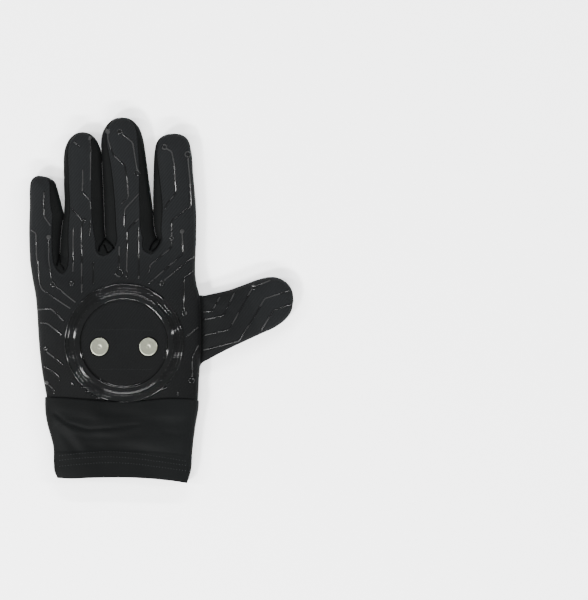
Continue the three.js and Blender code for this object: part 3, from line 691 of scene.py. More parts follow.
STRIP_NAMES = ["little_ring", "ring_middle", "middle_index"]
fold_lines = [np.array(line, dtype=float) for line, depth, half_width in BACK_FOLDS if half_width < 1]
STRIP_FLATS = [((0.022, 0.15), 0.0022), ((0.03, 0.18), 0.003), ((0.026, 0.18), 0.0027)]
for web, (name, (flat, area)) in enumerate(zip(STRIP_NAMES, STRIP_FLATS)):
    tops = [zone(web, 1, BACK_STRIP_WIDTHS, BACK_WEB_BOTTOMS, back_height, 22)[:, ::-1],
            zone(web + 1, 0, BACK_STRIP_WIDTHS, BACK_WEB_BOTTOMS, back_height, 22)]
    unders = [zone(web, 1, PALM_STRIP_WIDTHS, PALM_WEB_BOTTOMS, palm_height, 8),
              zone(web + 1, 0, PALM_STRIP_WIDTHS, PALM_WEB_BOTTOMS, palm_height, 8)[:, ::-1]]
    strip_points, strip_faces = sew([*tops, *unders])
    strip = make_piece("strip_" + name, strip_points, strip_faces, strip_cloth.material)
    remember(strip, "from_fold", distance_to(strip_points[:, :2], fold_lines))
    thicken(strip, STRIP_CLOTH)
    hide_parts("side_strip_" + name)
    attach(strip, "root")

# The palm: one panel of matt stretch knit over the palm, the fingers' fronts and the thumb. The back's
# twill rolls over onto its rim, and below the thumb a wedge of it shows beside a thick rolled seam.
KNIT_PITCH = 0.0009
ROLL_OVER = 2.4  # how far the twill comes round onto the palm side
WEDGE_TOP = 23.5  # along the hand
WEDGE_RISE = 1.5  # the step beside the rolled seam
WEDGE_SEAM = [
    (56, 24.6), (52, 23.6), (45, 20.4), (37.8, 16.2), (32.5, 11.8), (28.5, 7), (25.6, 2.2), (24, -2),
    (23.4, -8),
]

palm_grids, palm_seams = panel_grids(PALM_STRIP_WIDTHS, PALM_WEB_BOTTOMS, palm_height)
root_line = HAND_BORDERS[4][junction_end : crotch_start + 1][::-1]
root_curve = curve_through(root_line, 41)
front_plan = across_rows(thumb_upper, thumb_lower, np.tile(np.linspace(0, 1, 41), (91, 1)))
root_pull = (root_curve - front_plan[0])[None] * ((1 - np.linspace(0, 1, 91)) ** 6)[:, None, None]
palm_grids.append(raised(front_plan + root_pull, palm_height))

palm_points, palm_faces = sew(palm_grids, downwards=True)
palm_plan = palm_points[:, :2]
from_edge = distance_to(palm_plan, palm_edges)
from_palm_seam = np.minimum(distance_to(palm_plan, palm_seams), np.abs(from_edge - ROLL_OVER))
wedge_line = curve_through(WEDGE_SEAM, 60)
from_wedge = distance_to(palm_plan, [wedge_line])
wedge_x = np.interp(palm_plan[:, 1], wedge_line[::-1, 1], wedge_line[::-1, 0])
in_wedge = (palm_plan[:, 0] > wedge_x) & (palm_plan[:, 1] < WEDGE_TOP)
wedge_side = np.where(in_wedge, from_wedge, -from_wedge)
wedge_step = smooth_step(-0.2, 0.8, wedge_side) * (1 - smooth_step(5, 18, wedge_side))
palm_points[:, 2] += 0.55 * bell(from_palm_seam, 0.5) * smooth_step(0.6, 2, from_edge + 0.6)
palm_points[:, 2] += WEDGE_RISE * wedge_step * (from_edge > 1)
palm_points[:, 2] -= 0.7 * bell(wedge_side + 1.5, 1.0) * smooth_step(1, 4, from_edge)
from_palm_seam = np.minimum(from_palm_seam, np.abs(wedge_side - 0.3) + (from_edge < 1))

palm_knit = Finish("black_knit")
palm_where = palm_knit.place()
palm_x, palm_y, _ = palm_knit.split(palm_where)
knit_ribs, knit_threads = twill(palm_knit, palm_where, palm_x, palm_y, KNIT_PITCH, 0.0)
knit_patches = palm_knit.noise(palm_where, 30.0, 3.0)
knit_mix = knit_ribs * 0.2 + knit_threads * 0.45 + knit_patches * 0.3
knit_colour = palm_knit.mix(knit_mix, colour(0.0003, 0.0004, 0.0004), colour(0.0014, 0.0016, 0.0015))
twill_ridges, twill_threads = twill(palm_knit, palm_where, palm_x, palm_y, TWILL_PITCH, TWILL_LEAN)
rim_colour = palm_knit.mix(twill_ridges * 0.4 + twill_threads * 0.5, colour(0.0013, 0.0015, 0.0016),
                           colour(0.005, 0.0056, 0.006))
on_rim = 1 - palm_knit.own("from_edge").ramp(ROLL_OVER - 0.15, ROLL_OVER + 0.15)
on_wedge = palm_knit.own("wedge_side").ramp(-0.1, 0.3)
knit_colour = palm_knit.mix(on_rim.math("MAXIMUM", on_wedge), knit_colour, rim_colour)
knit_seam = 1 - palm_knit.own("from_seam").ramp(0.1, 0.8)
knit_colour = palm_knit.mix(knit_seam * 0.8, knit_colour, colour(0.002, 0.002, 0.002))
palm_knit.surface(height=knit_ribs * 0.3 + knit_threads * 0.7, distance=0.0002, base_color=knit_colour,
                  roughness=0.5 + knit_threads * 0.2, sheen_weight=0.02, sheen_roughness=0.4,
                  specular_ior_level=0.12)

palm_cloth = make_piece("palm_cloth", palm_points, palm_faces, palm_knit.material)
remember(palm_cloth, "from_edge", from_edge)
remember(palm_cloth, "from_seam", from_palm_seam)
remember(palm_cloth, "wedge_side", wedge_side)
thicken(palm_cloth, PANEL_CLOTH)
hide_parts("palm_panel")
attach(palm_cloth, "root")

# The cuff: a band of doubled stretch cloth, laid flat, whose top edge stands free of the hand. Its hem is
# turned in and held by rows of cover stitch.
CUFF_LEFT = [
    (-54.7, 0.9), (-54.5, -8.7), (-52.9, -18.4), (-50.8, -25.6), (-48.8, -34), (-48.6, -45),
    (-48.0, -51), (-46.3, -54.6),
]
CUFF_RIGHT = [
    (53, -1.8), (52.5, -8), (50.9, -16.5), (49.6, -25.6), (48.3, -37.7), (47.8, -47), (46.6, -53.3),
    (44.9, -58.2),
]
CUFF_TOP_EDGE = curve_through([
    (0, 0.9), (0.12, 0.4), (0.26, -0.9), (0.4, -2.1), (0.52, -2.5), (0.66, -1.7), (0.82, -0.3),
    (0.93, -0.6), (1, -1.8),
], 80)
CUFF_HEM_EDGE = curve_through([
    (0, -54.6), (0.1, -55), (0.3, -54.3), (0.5, -54.1), (0.68, -54.7), (0.84, -56), (0.94, -57.2),
    (1, -58.2),
], 80)
CUFF_RISE = ([0, 0.2, 0.45, 0.8, 1], [11.0, 10.8, 9.0, 7.2, 6.4])  # over the widest line
CUFF_DROP = 5.95  # from the widest line down to the palm side
HEM_DEEP = 18.4  # the turned-in hem, which stands out on the back by HEM_STEP
HEM_STEP = 0.3
CUFF_CLOTH = 1.2
CUFF_ROUND = 110
CUFF_ROWS = 84
CUFF_FOLDS = [
    ([(-47, -10), (-39.6, -16.5), (-24.5, -21), (-6, -19.8), (10, -17.5)], 0.5, 1.1),
    ([(-48, -14), (-38, -20.5), (-24, -24.5), (-8, -23.5)], -0.35, 2.2),
    ([(-49, -9), (-38, -11), (-22, -14)], 0.5, 3.4),
    ([(-46, -20), (-39, -27), (-32, -36)], 0.5, 3.2),
    ([(-40, -19), (-32, -27), (-26, -34)], -0.45, 3.4),
    ([(-12, -9), (10, -12), (34, -17), (50, -15)], 0.6, 4.6),
    ([(4, -27), (20, -30), (40, -29)], -0.8, 6.5),
    ([(-26, -33), (0, -33), (24, -38), (44, -42)], 0.4, 3.4),
    ([(49, -22), (40, -25), (30, -23)], 0.4, 2.0),
    ([(-20, -26), (-4, -28), (8, -24)], 0.4, 3.0),
]


def sleeve(grow, rows):
    """The cuff as a grid: round a superellipse, squarer below, and along from its top edge to its hem."""
    along = np.linspace(0, 1, rows)
    left, right = curve_through(CUFF_LEFT, rows), curve_through(CUFF_RIGHT, rows)
    turn = np.linspace(0, 2 * np.pi, CUFF_ROUND + 1)
    c, s = np.cos(turn), np.sin(turn)
    squareness = np.where(s >= 0, 3.0, 4.5)
    across = np.sign(c) * np.abs(c) ** (2 / squareness)
    lift = np.sign(s) * np.abs(s) ** (2 / squareness)
    share = (across + 1) / 2
    half = (right[:, 0] - left[:, 0]) / 2
    middle = (right[:, 0] + left[:, 0]) / 2
    x = middle[:, None] + across[None] * (half + grow)[:, None]
    top = np.interp(share, CUFF_TOP_EDGE[:, 0], CUFF_TOP_EDGE[:, 1])
    hem = np.interp(share, CUFF_HEM_EDGE[:, 0], CUFF_HEM_EDGE[:, 1])
    y = top[None] + (hem - top)[None] * along[:, None]
    rise = np.interp(along, *CUFF_RISE)
    up = np.where(lift >= 0, (rise[:, None] + grow) * lift[None], (CUFF_DROP + grow) * lift[None])
    return np.stack([x, y, WIDEST_LEVEL + up], -1), lift


def cuff_wall():
    """The cuff's outside, and all of it with its turned-in ends and its inside, as one closed grid."""
    outer, lift = sleeve(0.0, CUFF_ROWS)
    inner, _ = sleeve(-CUFF_CLOTH, CUFF_ROWS)
    plan = outer.reshape(-1, 3)[:, :2]
    on_back = np.clip(lift, 0, 1)[None, :]
    folds = (folds_at(plan, CUFF_FOLDS) - 1.4 * slack(plan)).reshape(outer.shape[:2])
    outer[..., 2] -= folds * on_back ** 0.5
    inner[..., 2] -= folds * on_back ** 0.5
    to_hem = outer[-1:, :, 1] - outer[..., 1]
    outer[..., 2] += HEM_STEP * smooth_step(-HEM_DEEP, 1 - HEM_DEEP, to_hem) * (lift > 0)
    lip = np.linspace(0, np.pi, 7)[1:-1]
    turned = []
    for edge, forward in ((0, 1.0), (-1, -1.0)):
        a, b = outer[edge], inner[edge]
        middle, half = (a + b) / 2, (a - b) / 2
        bulge = np.array([0.0, forward * CUFF_CLOTH / 2, 0.0])
        turned.append(np.stack([middle + half * np.cos(w) + bulge * np.sin(w) for w in lip]))
    return outer, lift, np.concatenate([outer, turned[1], inner[::-1], turned[0][::-1], outer[:1]])


cuff_outside, cuff_lift, cuff_grid = cuff_wall()
cuff_points, cuff_faces = sew([cuff_grid])
cuff_knit = Finish("cuff_knit")
cuff_where = cuff_knit.place()
cuff_x, _, _ = cuff_knit.split(cuff_where)
cuff_threads = cuff_knit.noise(cuff_where, 2400.0, 2.0, 0.6)
cuff_patches = cuff_knit.noise(cuff_where, 35.0, 3.0)
# Painted sheen: the cuff is paler towards the thumb side, for a broad sheen of light on the cloth.
painted_sheen_towards_thumb = (cuff_x * 1000).ramp(-35.0, 25.0)
cuff_mix = cuff_threads * 0.3 + cuff_patches * 0.3 + painted_sheen_towards_thumb * 0.3
cuff_colour = cuff_knit.mix(cuff_mix, colour(0.0006, 0.0007, 0.0007), colour(0.0038, 0.0043, 0.0044))
cuff_knit.surface(height=cuff_threads, distance=0.00008, base_color=cuff_colour,
                  roughness=0.5 + cuff_threads * 0.15, sheen_weight=0.005, sheen_roughness=0.4,
                  specular_ior_level=0.04)
cuff_sleeve = make_piece("cuff_sleeve", cuff_points, cuff_faces, cuff_knit.material)
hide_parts("cuff")
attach(cuff_sleeve, "root")

# The dock: a ring of glossy black silicone moulded onto the twill, with a thick inner bead that centres the
# stimulator's case and broken thinner ridges outside it.

# Radius and rise over the cloth, from the round inner lip over the bead to the film's edge.
BEAD_PROFILE = [
    (29.7, 0), (30.0, 0), (30.3, 0.25), (30.36, 0.8), (30.5, 1.22), (30.75, 1.54), (31.1, 1.74),
    (31.6, 1.84), (32.5, 1.86), (33.4, 1.86), (34.0, 1.82), (34.25, 1.7), (34.4, 1.5), (34.5, 1.1),
    (34.56, 0.7), (34.64, 0.3), (35.4, 0), (36.5, 0), (38, 0), (39.5, 0), (40.7, 0), (41.2, 0),
    (41.5, 0),
]
FILM_RISE = 0.35
RIDGE_STEP = 1.6  # degrees
# Radius, width, height, and from and to in degrees counter-clockwise from the thumb side.
DOCK_RIDGES = [
    (40.9, 1.2, 1.1, 47, 104), (41.0, 1.1, 1.0, 109, 137), (40.9, 1.1, 1.0, 146, 224),
    (40.8, 1.0, 0.9, -18, 33), (38.4, 1.0, 1.0, 58, 66), (38.5, 1.0, 1.0, 74, 100),
    (38.7, 1.0, 0.9, 112, 196), (38.7, 1.0, 1.0, -34, 46), (38.7, 0.9, 0.8, 208, 258),
    (36.5, 0.8, 0.8, 68, 165), (36.5, 0.8, 0.7, 188, 292), (36.6, 0.8, 0.9, -46, 52),
    (40.9, 1.0, 0.8, 264, 298), (40.8, 1.0, 0.8, 308, 336),
]
# Degrees and length of the short slanted ridges towards the wrist.
DOCK_HATCHES = [(232.0, 3.6), (238.0, 4.4), (244.0, 4.4), (250.0, 3.6)]
HATCH_RADIUS = 41.2
HATCH_LEAN = 7  # degrees
HATCH_WIDTH = 0.9


def surface_with_normals(points, height):
    """Points on a surface and the directions square to it, from its slopes over 0.1 mm each way."""
    step = 0.1
    z = height(points)
    slope_x = (height(points + [step, 0]) - height(points - [step, 0])) / (2 * step)
    slope_y = (height(points + [0, step]) - height(points - [0, step])) / (2 * step)
    slope_x, slope_y = np.clip(slope_x, -3, 3), np.clip(slope_y, -3, 3)
    normal = np.stack([-slope_x, -slope_y, np.ones(len(z))], -1)
    return np.concatenate([points, z[:, None]], 1), normal / np.linalg.norm(normal, axis=1)[:, None]


def bead_along(path, width, rise, height, closed=False, sides=9, sink=0.25):
    """A raised bead on a surface: half an ellipse over its path, sunk a little, tapering to its ends."""
    on, up = surface_with_normals(path, height)
    if closed:
        run = np.roll(on, -1, axis=0) - np.roll(on, 1, axis=0)
    else:
        run = np.gradient(on, axis=0)
    side = np.cross(run, up)
    side /= np.maximum(np.linalg.norm(side, axis=1), 1e-9)[:, None]
    along = walked(on)
    reach = np.full(len(path), 1e9) if closed else np.minimum(along, along[-1] - along)
    size = np.sqrt(np.clip(reach / (width / 2), 0, 1))[:, None, None]
    turn = np.linspace(0, 2 * np.pi, sides + 1)
    profile_side = -np.cos(turn) * width / 2
    profile_up = np.where(np.sin(turn) > 0, np.sin(turn) * rise, np.sin(turn) * sink)
    sideways = side[:, None] * profile_side[None, :, None]
    upwards = up[:, None] * profile_up[None, :, None]
    grid = on[:, None] + size * (sideways + upwards)
    return np.concatenate([grid, grid[:1]]) if closed else grid


def spokes(turn):
    """Points of a circle of radius 1 at angles in radians."""
    return np.stack([np.cos(turn), np.sin(turn)], -1)


def around(middle, radius, start, stop, count):
    """Points of an arc in plan, by degrees."""
    turn = np.radians(np.linspace(start, stop, count))
    return np.array(middle, dtype=float) + radius * spokes(turn)


def dock_surface():
    """The moulding's bead and film: a profile of heights carried round on the back's own surface."""
    radii, bead = (np.array(column) for column in zip(*BEAD_PROFILE))
    film = FILM_RISE * smooth_step(29.8, 30.4, radii) * (1 - smooth_step(40.9, 41.45, radii))
    rise = np.maximum(bead, film) - 0.1 * (radii < 29.9) - 0.1 * (radii > 41.3)
    turn = np.radians(np.linspace(0, 360, 217))
    rings = DOCK_MIDDLE + radii[:, None, None] * spokes(turn)[None]
    on, up = surface_with_normals(rings.reshape(-1, 2), back_height)
    over = (on + up * np.repeat(rise, len(turn))[:, None]).reshape(len(radii), len(turn), 3)
    under = (on - up * 0.35).reshape(len(radii), len(turn), 3)
    return np.concatenate([over, under[::-1], over[:1]])


dock_grids = [dock_surface()[:, ::-1]]
for radius, width, rise, start, stop in DOCK_RIDGES:
    arc = around(DOCK_MIDDLE, radius, start, stop, max(12, int((stop - start) / RIDGE_STEP)))
    dock_grids.append(bead_along(arc, width, rise, back_height)[:, ::-1])
for degrees, length in DOCK_HATCHES:
    leaning = degrees - HATCH_LEAN
    inner = around(DOCK_MIDDLE, HATCH_RADIUS - length / 2, degrees, degrees, 1)[0]
    outer = around(DOCK_MIDDLE, HATCH_RADIUS + length / 2, leaning, leaning, 1)[0]
    hatch = inner + (outer - inner) * np.linspace(0, 1, 12)[:, None]
    dock_grids.append(bead_along(hatch, HATCH_WIDTH, HATCH_WIDTH, back_height)[:, ::-1])


def silicone(name, dull):
    """Glossy black silicone, smooth as poured, with dull patches where its skin is thin."""
    finish = Finish(name)
    where = finish.place()
    smear = finish.noise(where, 150.0, 3.0, 0.6)
    patch = finish.noise(where, 85.0, 2.0).ramp(0.42, 0.62)
    shade = finish.mix(smear, colour(0.001, 0.0011, 0.0011), colour(0.003, 0.0032, 0.0032))
    return finish.surface(height=smear, distance=0.00007, base_color=shade,
                          roughness=patch * dull + smear * 0.05 + 0.03, ior=1.45, specular_ior_level=0.36)


moulded_silicone = silicone("moulded_silicone", 0.03)
printed_silicone = silicone("printed_silicone", 0.6)
dock_points, dock_faces = sew(dock_grids, together=0.005)
dock_moulding = make_piece("dock_moulding", dock_points, dock_faces, moulded_silicone)
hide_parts("dock_ring")
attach(dock_moulding, "root")

# The printed lines: thin raised lines of clear black silicone, screen-printed on the twill as circuit-like
# traces that run down the fingers to the dock and over the thumb, with dots and small rings at their ends.
LINE_WIDTH = 0.95
LINE_RISE = 0.42
DOT_RISE = LINE_RISE * 1.25
RING_WIDTH = 0.85
HAND_TRACES = [
    [(-2, 186.4), (6.9, 178.8), (8.6, 168.2), (9.9, 160.5), (10.3, 159)],
    [(-10.5, 187), (-10.5, 181.5), (-7.1, 170.7), (1.4, 162.7), (2.7, 154.6), (4, 141), (-1.1, 136)],
    [(11.6, 143.6), (1.4, 132.6), (1, 119.8)],
    [(11.6, 126.2), (6.1, 121.1), (3.3, 118), (3.1, 106.7), (2.7, 84)], [(10.8, 120.3), (11.2, 83.4)],
    [(-2.4, 107.1), (-2.8, 95.2), (-2.6, 90.3)],
    [(29.6, 175), (34.1, 172.6), (35.8, 164), (37.1, 143.6), (31.1, 136.8), (28.8, 132)],
    [(45.2, 168.8), (46.8, 151.2), (47.6, 134.6), (34.1, 124.5), (34.1, 113)],
    [(34.1, 111), (33.7, 105.4), (19.2, 93.6), (18, 87.6)],
    [(41.3, 116.5), (42.1, 101.2), (39.2, 98.8), (17.8, 80.2)],
    [(49.9, 99.8), (28.6, 82.5), (27.6, 81.4)], [(49.1, 89.7), (42.6, 84.2), (42.6, 69.8), (43, 61)],
    [(-34.6, 179.6), (-29.5, 175.4)], [(-23.2, 182), (-22.4, 175), (-22.6, 151.2)],
    [(-28, 160.5), (-27.8, 154.6), (-28.3, 144.4), (-22.8, 138.5), (-22.2, 131.7)],
    [(-36.3, 133.4), (-30.8, 127.5), (-28, 125)],
    [(-27.4, 124.5), (-28.7, 120.7), (-28.7, 96.1), (-28.3, 73.6)], [(-34.6, 119.8), (-34.6, 88.4)],
    [(-22.3, 124.9), (-23.2, 113)], [(-20.6, 96.1), (-20.5, 79.4)],
    [(-55, 145.2), (-55, 127.5), (-50, 120.4)],
    [(-51.6, 112.4), (-51.6, 97.8), (-49.5, 83.4), (-48.7, 80.6)], [(-48.6, 80), (-32.4, 67.2)],
    [(-64.4, 118.3), (-60.5, 115.6), (-60.1, 100.3), (-58, 81.6), (-56.4, 76.6), (-49.8, 72), (-36, 63)],
    [(-59.4, 62.4), (-49.8, 63), (-40.4, 54)], [(-57.8, 53.3), (-52.2, 52.7), (-41.6, 44.4)],
    [(-53.4, 33.4), (-41, 23.9)], [(-55.4, 23.2), (-44.4, 16.6), (-43.8, 12.3)],
    [(-52.6, 11), (-47.8, 6.4), (-47.6, 3.2)], [(43.8, 42.7), (53, 50.6)],
    [(53, 38.2), (48.4, 29.8), (48.4, 15)], [(38.4, 6), (38.4, 1.2)], [(-36.6, 12.5), (-33.2, 9)],
    [(26, 6.6), (31.5, 8.4)],
]
# Dots and rings: x, y and radius.
HAND_DOTS = [
    (-2, 186.4, 1.9), (-10.5, 186.6, 1.7), (34.1, 112, 1.6), (41.3, 116.9, 1.6), (27.3, 80.8, 1.9),
    (43, 60, 1.9), (-27.4, 124.5, 1.6), (-51.6, 113, 1.7), (-48.6, 80, 2.0), (-23.2, 182, 1.2),
    (-53.6, 35.2, 1.5), (-53, 11.4, 1.3), (-35.5, 80.7, 1.7),
]
HAND_RINGS = [
    (10.3, 157.6, 1.6), (29, 175.8, 1.6), (45.1, 170.7, 1.8), (-2.4, 87.8, 2.4), (47.9, 13, 1.8),
]
THUMB_TRACES = [
    [(55.4, 60.6), (62.3, 61.2), (67.7, 71.4)],
    [(55.4, 55.1), (70.1, 58.2), (77.9, 74.4)],
    [(56, 44.3), (74.3, 48.5), (88.8, 75), (91.2, 78), (103.3, 82.9)],
    [(55.4, 34), (70.7, 37.7), (81, 40.6), (87.6, 50.9), (99, 70.2), (116.5, 75.6)],
    [(96, 47.4), (105.1, 61.8), (117.4, 66)],
]
THUMB_DOTS = [(91.2, 78, 1.7)]


def rounded_path(corners, step=0.6, soften=5):
    """Straight runs with eased corners: evenly spaced points, each the mean of its neighbours."""
    p = np.array(corners, dtype=float)
    along = walked(p)
    line = at_lengths(np.linspace(0, along[-1], max(8, int(along[-1] / step))), along, p)
    extra = soften // 2
    padded = np.concatenate([np.repeat(line[:1], extra, 0), line, np.repeat(line[-1:], extra, 0)])
    return np.stack([np.convolve(padded[:, k], np.ones(soften) / soften, "valid") for k in (0, 1)], -1)


def dot_on(x, y, radius, rise, height):
    """A flat-topped dot on a surface: its height is a superellipse of the share of its radius."""
    share = np.array([0.0, 0.45, 0.75, 0.92, 1.0, 0.98])
    lift = np.array([rise, rise * 0.96, rise * 0.85, rise * 0.55, 0.0, -0.3])
    turn = np.linspace(0, 2 * np.pi, 17)
    plan = np.array([x, y]) + radius * share[:, None, None] * spokes(turn)[None]
    on, up = surface_with_normals(plan.reshape(-1, 2), height)
    return (on + up * np.repeat(lift, len(turn))[:, None]).reshape(len(share), len(turn), 3)


def print_piece(name, grids):
    """Beads and dots joined as one printed piece."""
    points, faces = sew(grids, together=0.004)
    piece = make_piece(name, points, faces, printed_silicone)
    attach(piece, "root")


def print_on(name, traces, dots, rings, height):
    """All printed lines of one panel as one piece."""
    grids = [bead_along(rounded_path(trace), LINE_WIDTH, LINE_RISE, height)[:, ::-1] for trace in traces]
    grids += [dot_on(x, y, radius, DOT_RISE, height)[:, ::-1] for x, y, radius in dots]
    for x, y, radius in rings:
        ring = around((x, y), radius, 0, 345, 24)
        grids.append(bead_along(ring, RING_WIDTH, LINE_RISE, height, closed=True)[:, ::-1])
    print_piece(name, grids)


# Where the print wraps round the glove's edges, short ends of it show on the palm side's rim, as the same
# beads standing out downwards.
RIM_TRACES = [
    [(-65, 123.3), (-62.8, 121.8)], [(-64.4, 98), (-62, 96.4)], [(-63.4, 89), (-60.6, 87.8)],
    [(-61.6, 79.6), (-58.9, 77.6)], [(-60, 66), (-57.2, 64.2)], [(-59.2, 52), (-56.6, 50.4)],
    [(-58.6, 41.5), (-55.8, 39.2)], [(-57, 24), (-54.2, 22.4)], [(-54.2, 7.6), (-51.4, 6)],
    [(49, 3), (49.2, 10)], [(40.8, 2), (41, 8.4)],
]
rim_grids = [bead_along(rounded_path(trace), LINE_WIDTH, -LINE_RISE, palm_height, sink=-0.25)
             for trace in RIM_TRACES]
print_piece("printed_lines_rim", rim_grids)
print_on("printed_lines_hand", HAND_TRACES, HAND_DOTS, HAND_RINGS, back_height)
print_on("printed_lines_thumb", THUMB_TRACES, THUMB_DOTS, [], thumb_height)

# The snap studs: two flat nickel caps, each pressed through the twill onto a washer inside, with a rolled
# rim and a small plain dimple in its middle.
CAP_RADIUS = 6.2
# Radius and height, from the dimple over the rim to the foot.
CAP_PROFILE = [
    (0, 0.74), (0.6, 0.74), (1.1, 0.8), (1.35, 0.94), (1.7, 1.0), (3.5, 0.98), (5.0, 0.94), (5.5, 1.02),
    (5.9, 0.98), (6.15, 0.78), (6.2, 0.5), (6.12, 0.22), (5.8, 0.08), (2.4, 0.05), (2.0, -0.1),
    (2.0, -1.6),
]
STUD_APART = 34.0
STUD_BELOW = 2.4  # from the ring's middle towards the wrist

nickel = Finish("satin_nickel")
nickel_where = nickel.place()
nickel_grain = nickel.noise(nickel_where, 900.0, 4.0, 0.7)
nickel_colour = nickel.mix(nickel_grain, colour(0.26, 0.27, 0.205), colour(0.38, 0.39, 0.31))
nickel.surface(height=nickel_grain, distance=0.00003, base_color=nickel_colour, metallic=1.0,
               roughness=0.3 + nickel_grain * 0.16)


def stud_cap(middle):
    """A cap: its profile of radii and heights turned round its own axis."""
    radii, heights = (np.array(column) for column in zip(*CAP_PROFILE))
    turn = np.linspace(0, 2 * np.pi, 65)
    inner_edge = middle - [np.sign(middle[0] - DOCK_MIDDLE[0]) * CAP_RADIUS, 0]
    seat = back_height(np.array([inner_edge]))[0] + 0.25
    x = middle[0] + radii[:, None] * np.cos(turn)
    y = middle[1] + radii[:, None] * np.sin(turn)
    z = seat + np.repeat(heights[:, None], len(turn), 1)
    return np.stack([x, y, z], -1)


for name, side in (("little_side", -0.5), ("thumb_side", 0.5)):
    stud_middle = DOCK_MIDDLE + [side * STUD_APART, -STUD_BELOW]
    stud_points, stud_faces = sew([stud_cap(stud_middle)[:, ::-1]], together=0.001)
    cap = make_piece("stud_cap_" + name, stud_points, stud_faces, nickel.material)
    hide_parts("snap_stud_" + name)
    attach(cap, "root")

# The pads: ten patches of silver-grey conductive knit over thin foam, sewn under the fingers, the thumb and
# the palm with one line of pale stitches just inside each edge.
PAD_DEEP = 1.45
FLOOR_GAP = 0.04
PILL_HALF_WIDTH = 6.4
PILL_HALF_STRAIGHT = 10.5
PAD_ROUND = 1.1  # how far in its lower edge is rounded
STITCH_INSET = 1.3
STITCH_SUNK = 0.3
STITCH_LEVEL = 0.3  # height of a stitch's middle over the table
STITCH_PITCH, STITCH_LENGTH, STITCH_WIDTH, STITCH_TALL = 2.1, 1.5, 0.4, 0.2
LOOP_ACROSS, LOOP_ALONG = 0.0008, 0.0011  # the knit's loops, in metres
# Turns in degrees, counter-clockwise. Each pad lies where the solid that it replaces lies.
PILLS = [
    ("index_tip", 2.2), ("index_root", 3.2), ("middle_tip", 4.3), ("middle_root", 3.3),
    ("ring_tip", 1.4), ("ring_root", 7.9), ("little", 4.4), ("palm_side", 0.0),
]


def place_of(node):
    """The middle of a solid's box in plan, in glove millimetres."""
    low, high = (np.array(corner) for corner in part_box(node))
    return (low + high)[:2] * 500 - GLOVE_SHIFT


def fill_outline(edge, core):
    """A pad from its flat underside round its edge to its back: rings between a core and the outline."""
    e = np.concatenate([np.linspace(0, 0.8, 7), [0.87, 0.92, 0.96, 0.985, 1.0, 0.99, 0.9, 0.5, 0.0]])
    rings = core[None] + (edge - core)[None] * e[:, None, None]
    from_rim = np.linalg.norm(edge[None] - rings, axis=-1)
    outwards = 1 - np.clip(from_rim / PAD_ROUND, 0, 1)
    low = FLOOR_GAP + PAD_ROUND * (1 - np.sqrt(np.clip(1 - outwards**2, 0, 1)))
    low += STITCH_SUNK * bell(from_rim - STITCH_INSET, 0.4)
    z = np.where(np.arange(len(e))[:, None] <= 11, low, PAD_DEEP)
    return np.concatenate([rings, z[..., None]], -1)


def pill_outline(middle, turn_degrees, inset):
    """A pill's outline and its core line, turned about its middle."""
    a = np.radians(np.concatenate([np.linspace(0, 180, 25), np.linspace(180, 360, 25)]))
    ends = np.repeat([1.0, -1.0], 25)
    core = np.stack([np.zeros(50), ends * PILL_HALF_STRAIGHT], -1)
    edge = core + (PILL_HALF_WIDTH - inset) * spokes(a)
    c, s = np.cos(np.radians(turn_degrees)), np.sin(np.radians(turn_degrees))
    spin = np.array([[c, s], [-s, c]])
    edge, core = np.concatenate([edge, edge[:1]]), np.concatenate([core, core[:1]])
    return edge @ spin + middle, core @ spin + middle


THUMB_PAD_SIZE = (48.0, 26.5)
THUMB_PAD_FULLER = 0.16
THUMB_PAD_TURN = 17.3
THENAR_SIDE = 56.0
# The rounded triangle's corners: centre and radius as shares of its side, and the arc's degrees.
THENAR_CORNERS = [
    (0.32, 0.18, 0.21, -40, 80), (-0.18, 0.2, 0.28, 80, 180), (-0.23, -0.3, 0.2, 184, 322),
]


def oval_outline():
    """An oval that is fuller towards the hand: its width times one less a share of the cosine."""
    a = np.radians(np.linspace(0, 360, 97))
    x = THUMB_PAD_SIZE[0] / 2 * np.cos(a)
    y = THUMB_PAD_SIZE[1] / 2 * np.sin(a) * (1 - THUMB_PAD_FULLER * np.cos(a))
    c, s = np.cos(np.radians(THUMB_PAD_TURN)), np.sin(np.radians(THUMB_PAD_TURN))
    return np.stack([x * c - y * s, x * s + y * c], -1)


def triangle_outline():
    """Three round corners with bulging sides: each point the mean of a sixth of the outline about it."""
    arcs = [around(np.array((x, y)) * THENAR_SIDE, radius * THENAR_SIDE, start, stop, 16)
            for x, y, radius, start, stop in THENAR_CORNERS]
    ring = np.concatenate([*arcs, arcs[0][:1]])
    along = walked(ring)
    even = at_lengths(np.linspace(0, along[-1], 97), along, ring)[:-1]
    round_off = np.mean([np.roll(even, shift, axis=0) for shift in range(-8, 9)], axis=0)
    middle = (even.max(0) + even.min(0)) / 2
    round_off = (round_off - round_off.min(0)) / np.ptp(round_off, axis=0) * np.ptp(even, axis=0)
    round_off = round_off + even.min(0)
    return np.concatenate([round_off, round_off[:1]]) - middle


pad_knit = Finish("conductive_knit")
pad_where = pad_knit.place()
pad_x, pad_y, _ = pad_knit.split(pad_where)
pad_loops = (pad_x * (2 * np.pi / LOOP_ACROSS)).sine() * (pad_y * (2 * np.pi / LOOP_ALONG)).sine()
pad_threads = pad_knit.noise(pad_where, 2200.0, 2.0, 0.6)
pad_patches = pad_knit.noise(pad_where, 45.0, 3.0)
pad_mix = pad_loops * 0.2 + pad_threads * 0.4 + pad_patches * 0.4
pad_colour = pad_knit.mix(pad_mix, colour(0.1, 0.094, 0.052), colour(0.19, 0.182, 0.118))
pad_knit.surface(height=pad_loops * 0.4 + pad_threads * 0.6, distance=0.0002, base_color=pad_colour,
                 roughness=0.5 + pad_threads * 0.2, metallic=0.3, sheen_weight=0.15)

